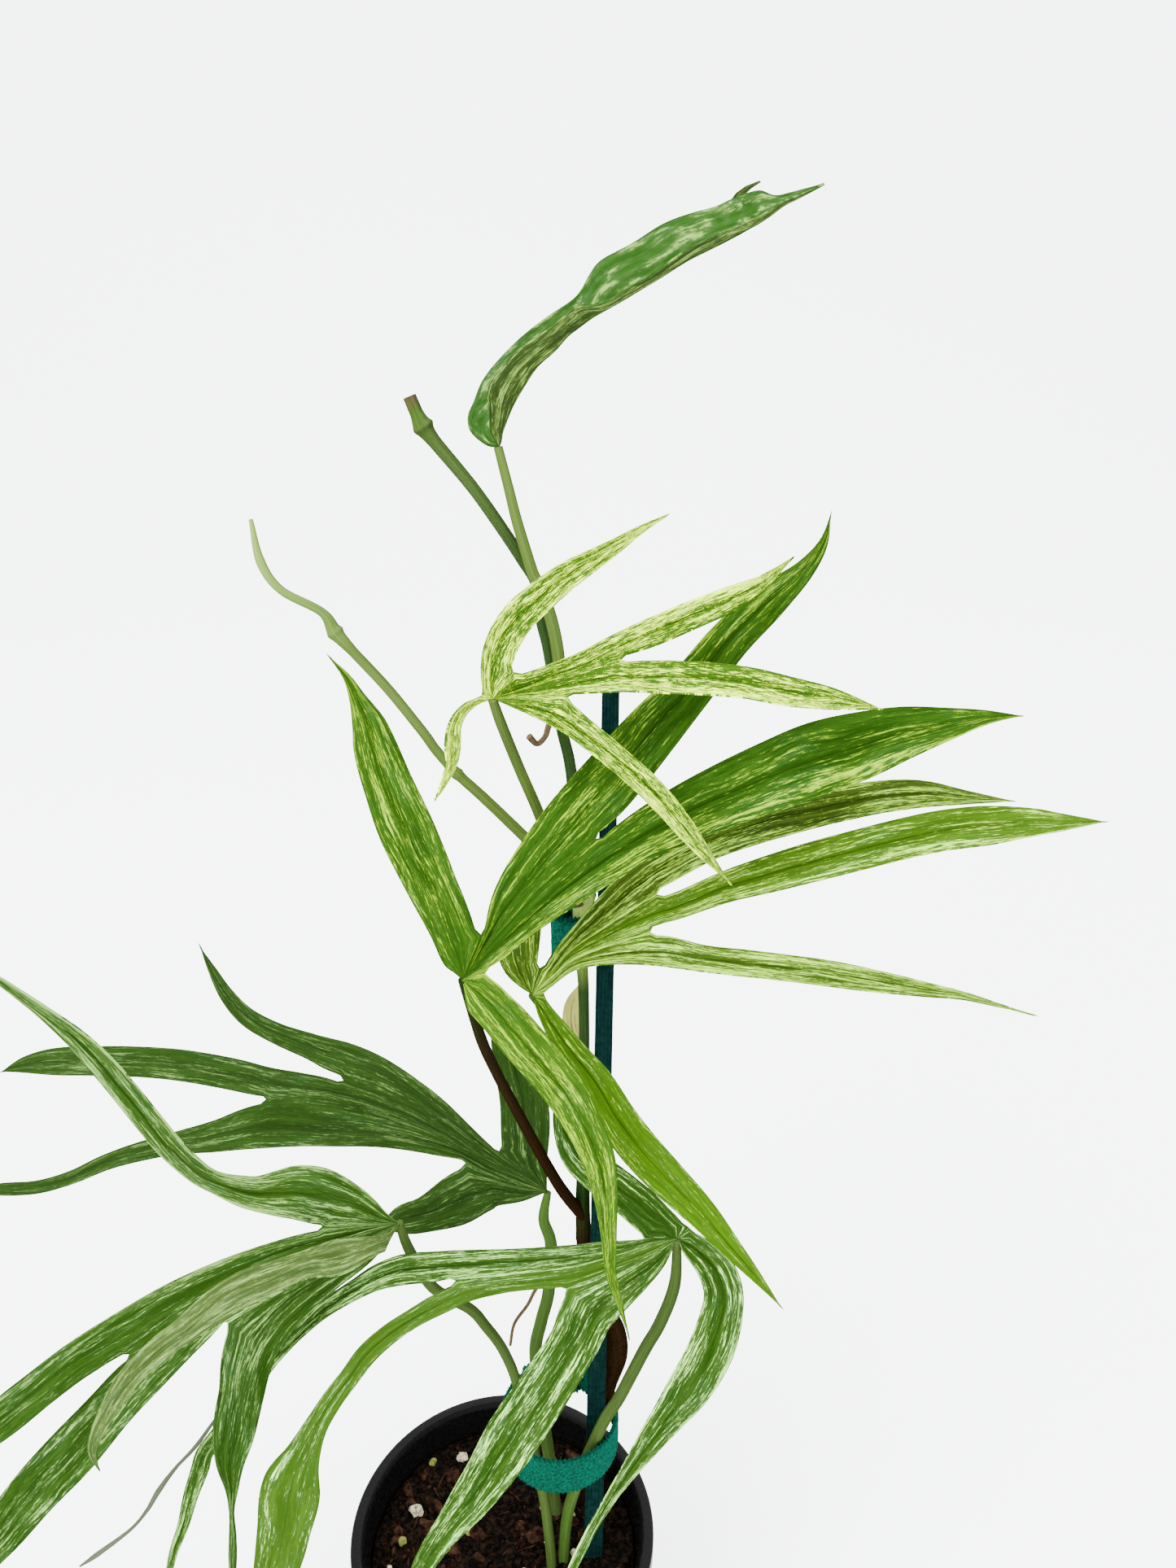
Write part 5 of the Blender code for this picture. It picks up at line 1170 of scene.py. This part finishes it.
# How cream each lobe is at its left edge, rib and right edge, how lime it is, and how much creamier its root is.
LEAF_LOOKS = {
    "b": [(0.42, 0.38, 0.46, 0.4, -0.1), (0.38, 0.22, 0.32, 0.4, 0.0), (0.5, 0.26, 0.12, 0.4, -0.4),
          (0.14, 0.22, 0.44, 0.5, -0.3), (0.26, 0.28, 0.34, 0.4, -0.3)],
    "c": [(0.4, 0.32, 0.3, 0.45, -0.25), (0.36, 0.2, 0.14, 0.3, -0.1), (0.1, 0.24, 0.5, 0.25, -0.05),
          (0.3, 0.42, 0.36, 0.8, 0.0)],
    "d": [(0.3, 0.3, 0.3, 0.3, 0.0), (0.36, 0.28, 0.5, 0.0, 0.1), (0.3, 0.22, 0.5, 0.8, 0.1),
          (0.52, 0.38, 0.48, 0.4, 0.1), (0.2, 0.12, 0.16, 1.0, 0.1)],
    "e": [(0.3, 0.24, 0.34, 0.3, 0.1), (0.32, 0.26, 0.26, 0.4, 0.1), (0.34, 0.28, 0.24, 0.3, 0.1),
          (0.24, 0.24, 0.28, 0.2, 0.1), (0.2, 0.24, 0.24, 0.1, 0.0)],
    "f": [(0.46, 0.36, 0.46, 0.4, 0.0), (0.26, 0.26, 0.32, 0.1, 0.1), (0.38, 0.22, 0.28, 0.2, 0.1),
          (0.14, 0.16, 0.42, 0.3, 0.0), (0.58, 0.22, 0.56, 0.5, -0.1)],
    "g": [(0.42, 0.26, 0.42, 0.3, -0.1), (0.2, 0.12, 0.3, 1.0, 0.0), (0.4, 0.34, 0.38, 0.3, -0.1),
          (0.32, 0.22, 0.26, 0.1, -0.1), (0.46, 0.18, 0.46, 0.3, -0.1)],
}
ROLLED_LOOK = (0.4, 0.4)
SHEATH_LOOK = [(0.8, 0.8, 0.8, 0.5, 0.0)]

STEM_GREEN = tone(18, 40, 6)
STEM_MOSS = tone(21, 37, 8)
STEM_SOFT = tone(31, 52, 9)
STEM_OLIVE = tone(40, 69, 13)
STEM_PALE = tone(91, 141, 25)
VINE_DARK = tone(9, 20, 5)
VINE_DEEP = tone(4, 10, 2)
BARK_BROWN = tone(6, 3, 1)
PETIOLE_DARK = tone(7, 5, 2)
ROOT_RUST = tone(40, 27, 12)
CUT_BROWN = tone(30, 20, 10)
STRAND_GREY = tone(42, 52, 30)
VINE_TINTS = {
    0: BARK_BROWN, 1: VINE_DEEP, 2: VINE_DARK, 4: VINE_DARK, 5: STEM_PALE, 7: STEM_PALE, 8: VINE_DARK,
    13: VINE_DARK, 18: STEM_MOSS, 19: STEM_GREEN, 20: CUT_BROWN,
}
RUNNER_TINTS = {0: STEM_SOFT, 8: STEM_SOFT, 9: STEM_OLIVE, 10: STEM_OLIVE, 13: STEM_PALE}
PETIOLE_TINTS = {
    "a": {0: STEM_SOFT},
    "b": {0: STEM_SOFT},
    "c": {0: BARK_BROWN, 3: BARK_BROWN, 6: PETIOLE_DARK, 7: VINE_DEEP},
    "d": {0: STEM_GREEN},
    "e": {0: STEM_MOSS, 8: STEM_GREEN},
    "f": {0: STEM_MOSS},
    "g": {0: STEM_GREEN, 4: STEM_MOSS},
}

# Each grained finish: its material, grains in a metre, its dark and light tone, where between the grains turn light,
# the roughness of dark and light, the relief in millimetres and the gloss.
GRAINS = {
    "pot": ("pot_plastic", 900.0, tone(1, 1, 1), tone(2, 2, 2), (0.3, 0.7), (0.26, 0.4), 0.05, 0.03),
    "soil": ("soil_earth", 700.0, tone(1, 1, 1), tone(9, 5, 3), (0.4, 0.75), (0.95, 0.8), 0.8),
    "bark": ("soil_bark", 520.0, tone(3, 1, 1), tone(25, 13, 7), (0.35, 0.8), (0.9, 0.75), 0.5),
    "perlite": ("soil_perlite", 900.0, tone(36, 32, 22), tone(259, 235, 150), (0.3, 0.6), (0.9, 0.8), 0.4),
    "feed": ("soil_feed", 800.0, tone(35, 37, 12), tone(89, 95, 20), (0.3, 0.6), (0.6, 0.5), 0.1),
    "tape": ("tape_pile", 1600.0, tone(1, 16, 10), tone(1, 43, 26), (0.35, 0.65), (0.95, 0.85), 0.2),
    "stake": ("stake_plastic", 600.0, tone(1, 5, 5), tone(2, 11, 9), (0.3, 0.7), (0.35, 0.5), 0.05),
}


# ---- The whole ----


def make_leaves():
    """The seven blades and the old sheath."""
    pattern = variegation_group()
    under = leaf_finish("leaf_underside", pattern, 0.4, 1.0, UNDER_TONES)
    tops = {
        letter: leaf_finish(f"leaf_{letter}_top", pattern, BLOTCHES[letter], DASHES[letter], tones)
        for letter, tones in LEAF_TONES.items()
    }
    rolled = leaf_finish("leaf_a_underside", pattern, 0.4, 1.0, ROLLED_TONES)
    make_rolled_blade("leaf_a_blade", [tops["a"], rolled], A_STATIONS, A_SPUR_ROW, A_SPUR, ROLLED_LOOK)
    for letter, slot, base, facing, lobes, seams in (
        ("b", "leaf_cream", B_BASE, B_FACING, B_LOBES, B_SEAMS),
        ("c", "leaf_green", C_BASE, C_FACING, C_LOBES, C_SEAMS),
        ("d", "leaf_lime", D_BASE, D_FACING, D_LOBES, D_SEAMS),
        # Leaf e's tones are painted darker, as painted shade.
        ("e", "leaf_dark", E_BASE, E_FACING, E_LOBES, E_SEAMS),
        ("f", "leaf_green", F_BASE, F_FACING, F_LOBES, F_SEAMS),
        ("g", "leaf_green", G_BASE, G_FACING, G_LOBES, G_SEAMS),
    ):
        make_blade(f"leaf_{letter}_blade", [tops[letter], under], base, facing, lobes, seams, LEAF_LOOKS[letter])
    sheath = leaf_finish("sheath_face", pattern, 0.1, 1.0, SHEATH_TONES)
    make_blade("old_sheath", [sheath] * 2, SHEATH_BASE, SHEATH_FACING, SHEATH_LOBES, [], SHEATH_LOOK)


def make_stems():
    """The vine, the runner, the petioles, the aerial roots and the dry strand."""
    skin = skin_group()
    green = stem_finish("stem_green", skin, 0.6, 0.1, 0.06)
    vine = stem_finish("vine_skin", skin, 0.6, 0.5, 0.12)
    rough = stem_finish("root_skin", skin, 0.9, 0.9, 0.3)
    make_stem("vine_upper", vine, VINE_UPPER, VINE_UPPER_RADII, VINE_TINTS, CUT_BROWN, (5, 7, 18))
    make_stem("vine_lower", rough, VINE_LOWER, VINE_LOWER_RADII, {0: BARK_BROWN})
    make_stem("runner", green, RUNNER, RUNNER_RADII, RUNNER_TINTS, None, (4, 9))
    for letter, (readings, radii) in PETIOLES.items():
        route = [*readings, BASES[letter]]
        make_stem(f"leaf_{letter}_petiole", green, route, radii, PETIOLE_TINTS[letter])
    for name, (readings, radii) in AERIAL_ROOTS.items():
        make_stem(name, rough, readings, radii, {0: ROOT_RUST}, sides=ROOT_SIDES)
    grey = {0: STRAND_GREY}
    make_stem("dry_strand", rough, DRY_STRAND, DRY_STRAND_RADII, grey, sides=ROOT_SIDES, flat=0.7)


def make_pot_and_ties():
    """The pot, the soil, the stake and the two ties."""
    grain = grain_group()
    finishes = {key: grain_finish(grain, *values) for key, values in GRAINS.items()}
    make_pot(finishes["pot"])
    make_soil(finishes)
    make_stake(finishes["stake"])
    for name, values in BANDS.items():
        make_band(name, finishes["tape"], *values)


def make_stage():
    """A pale floor that curves up into a backdrop, soft lights and the camera."""
    mesh = bmesh.new()
    for vert in bmesh.ops.create_grid(mesh, x_segments=4, y_segments=60, size=1.0)["verts"]:
        way = (vert.co.y + 1) / 2 * FLOOR_LONG
        turn = max(0, min(math.pi / 2, (way - FLOOR_FLAT) / FLOOR_BEND))
        back = min(way, FLOOR_FLAT) - FLOOR_FRONT + FLOOR_BEND * math.sin(turn)
        rise = FLOOR_BEND * (1 - math.cos(turn)) + max(0, way - FLOOR_FLAT - FLOOR_BEND * math.pi / 2)
        vert.co = Vector((vert.co.x * FLOOR_SIDE, back, rise - FLOOR_DROP))
    floor = new_mesh_object("floor", mesh)
    floor.data.shade_smooth()
    paper, _, shader = new_material("floor_paper", 0.5)
    shader["Base Color"].default_value = PAPER
    shader["Roughness"].default_value = 0.9
    floor.data.materials.append(paper)
    world = bpy.data.worlds.new("studio")
    world.use_nodes = True
    sky = world.node_tree.nodes["Background"].inputs
    sky["Color"].default_value = (1.0, 1.0, 1.0, 1.0)
    sky["Strength"].default_value = SKY_LIGHT
    bpy.context.scene.world = world
    for name, place, size, power in LAMPS:
        lamp = bpy.data.lights.new(name, "AREA")
        lamp.energy = power
        lamp.size = size
        made = new_object(name, lamp)
        made.location = place
        made.rotation_euler = (AIM - Vector(place)).to_track_quat("-Z", "Y").to_euler()
    lens = bpy.data.cameras.new("camera")
    lens.sensor_width = SENSOR
    lens.lens = SENSOR * SIGHT_LENGTH / SIGHT_FRAME
    lens.clip_start = 0.01
    camera = new_object("camera", lens)
    camera.location = EYE
    camera.rotation_euler = (math.pi / 2 - SIGHT_PITCH, 0, 0)
    bpy.context.scene.camera = camera


make_stage()
make_pot_and_ties()
make_stems()
make_leaves()
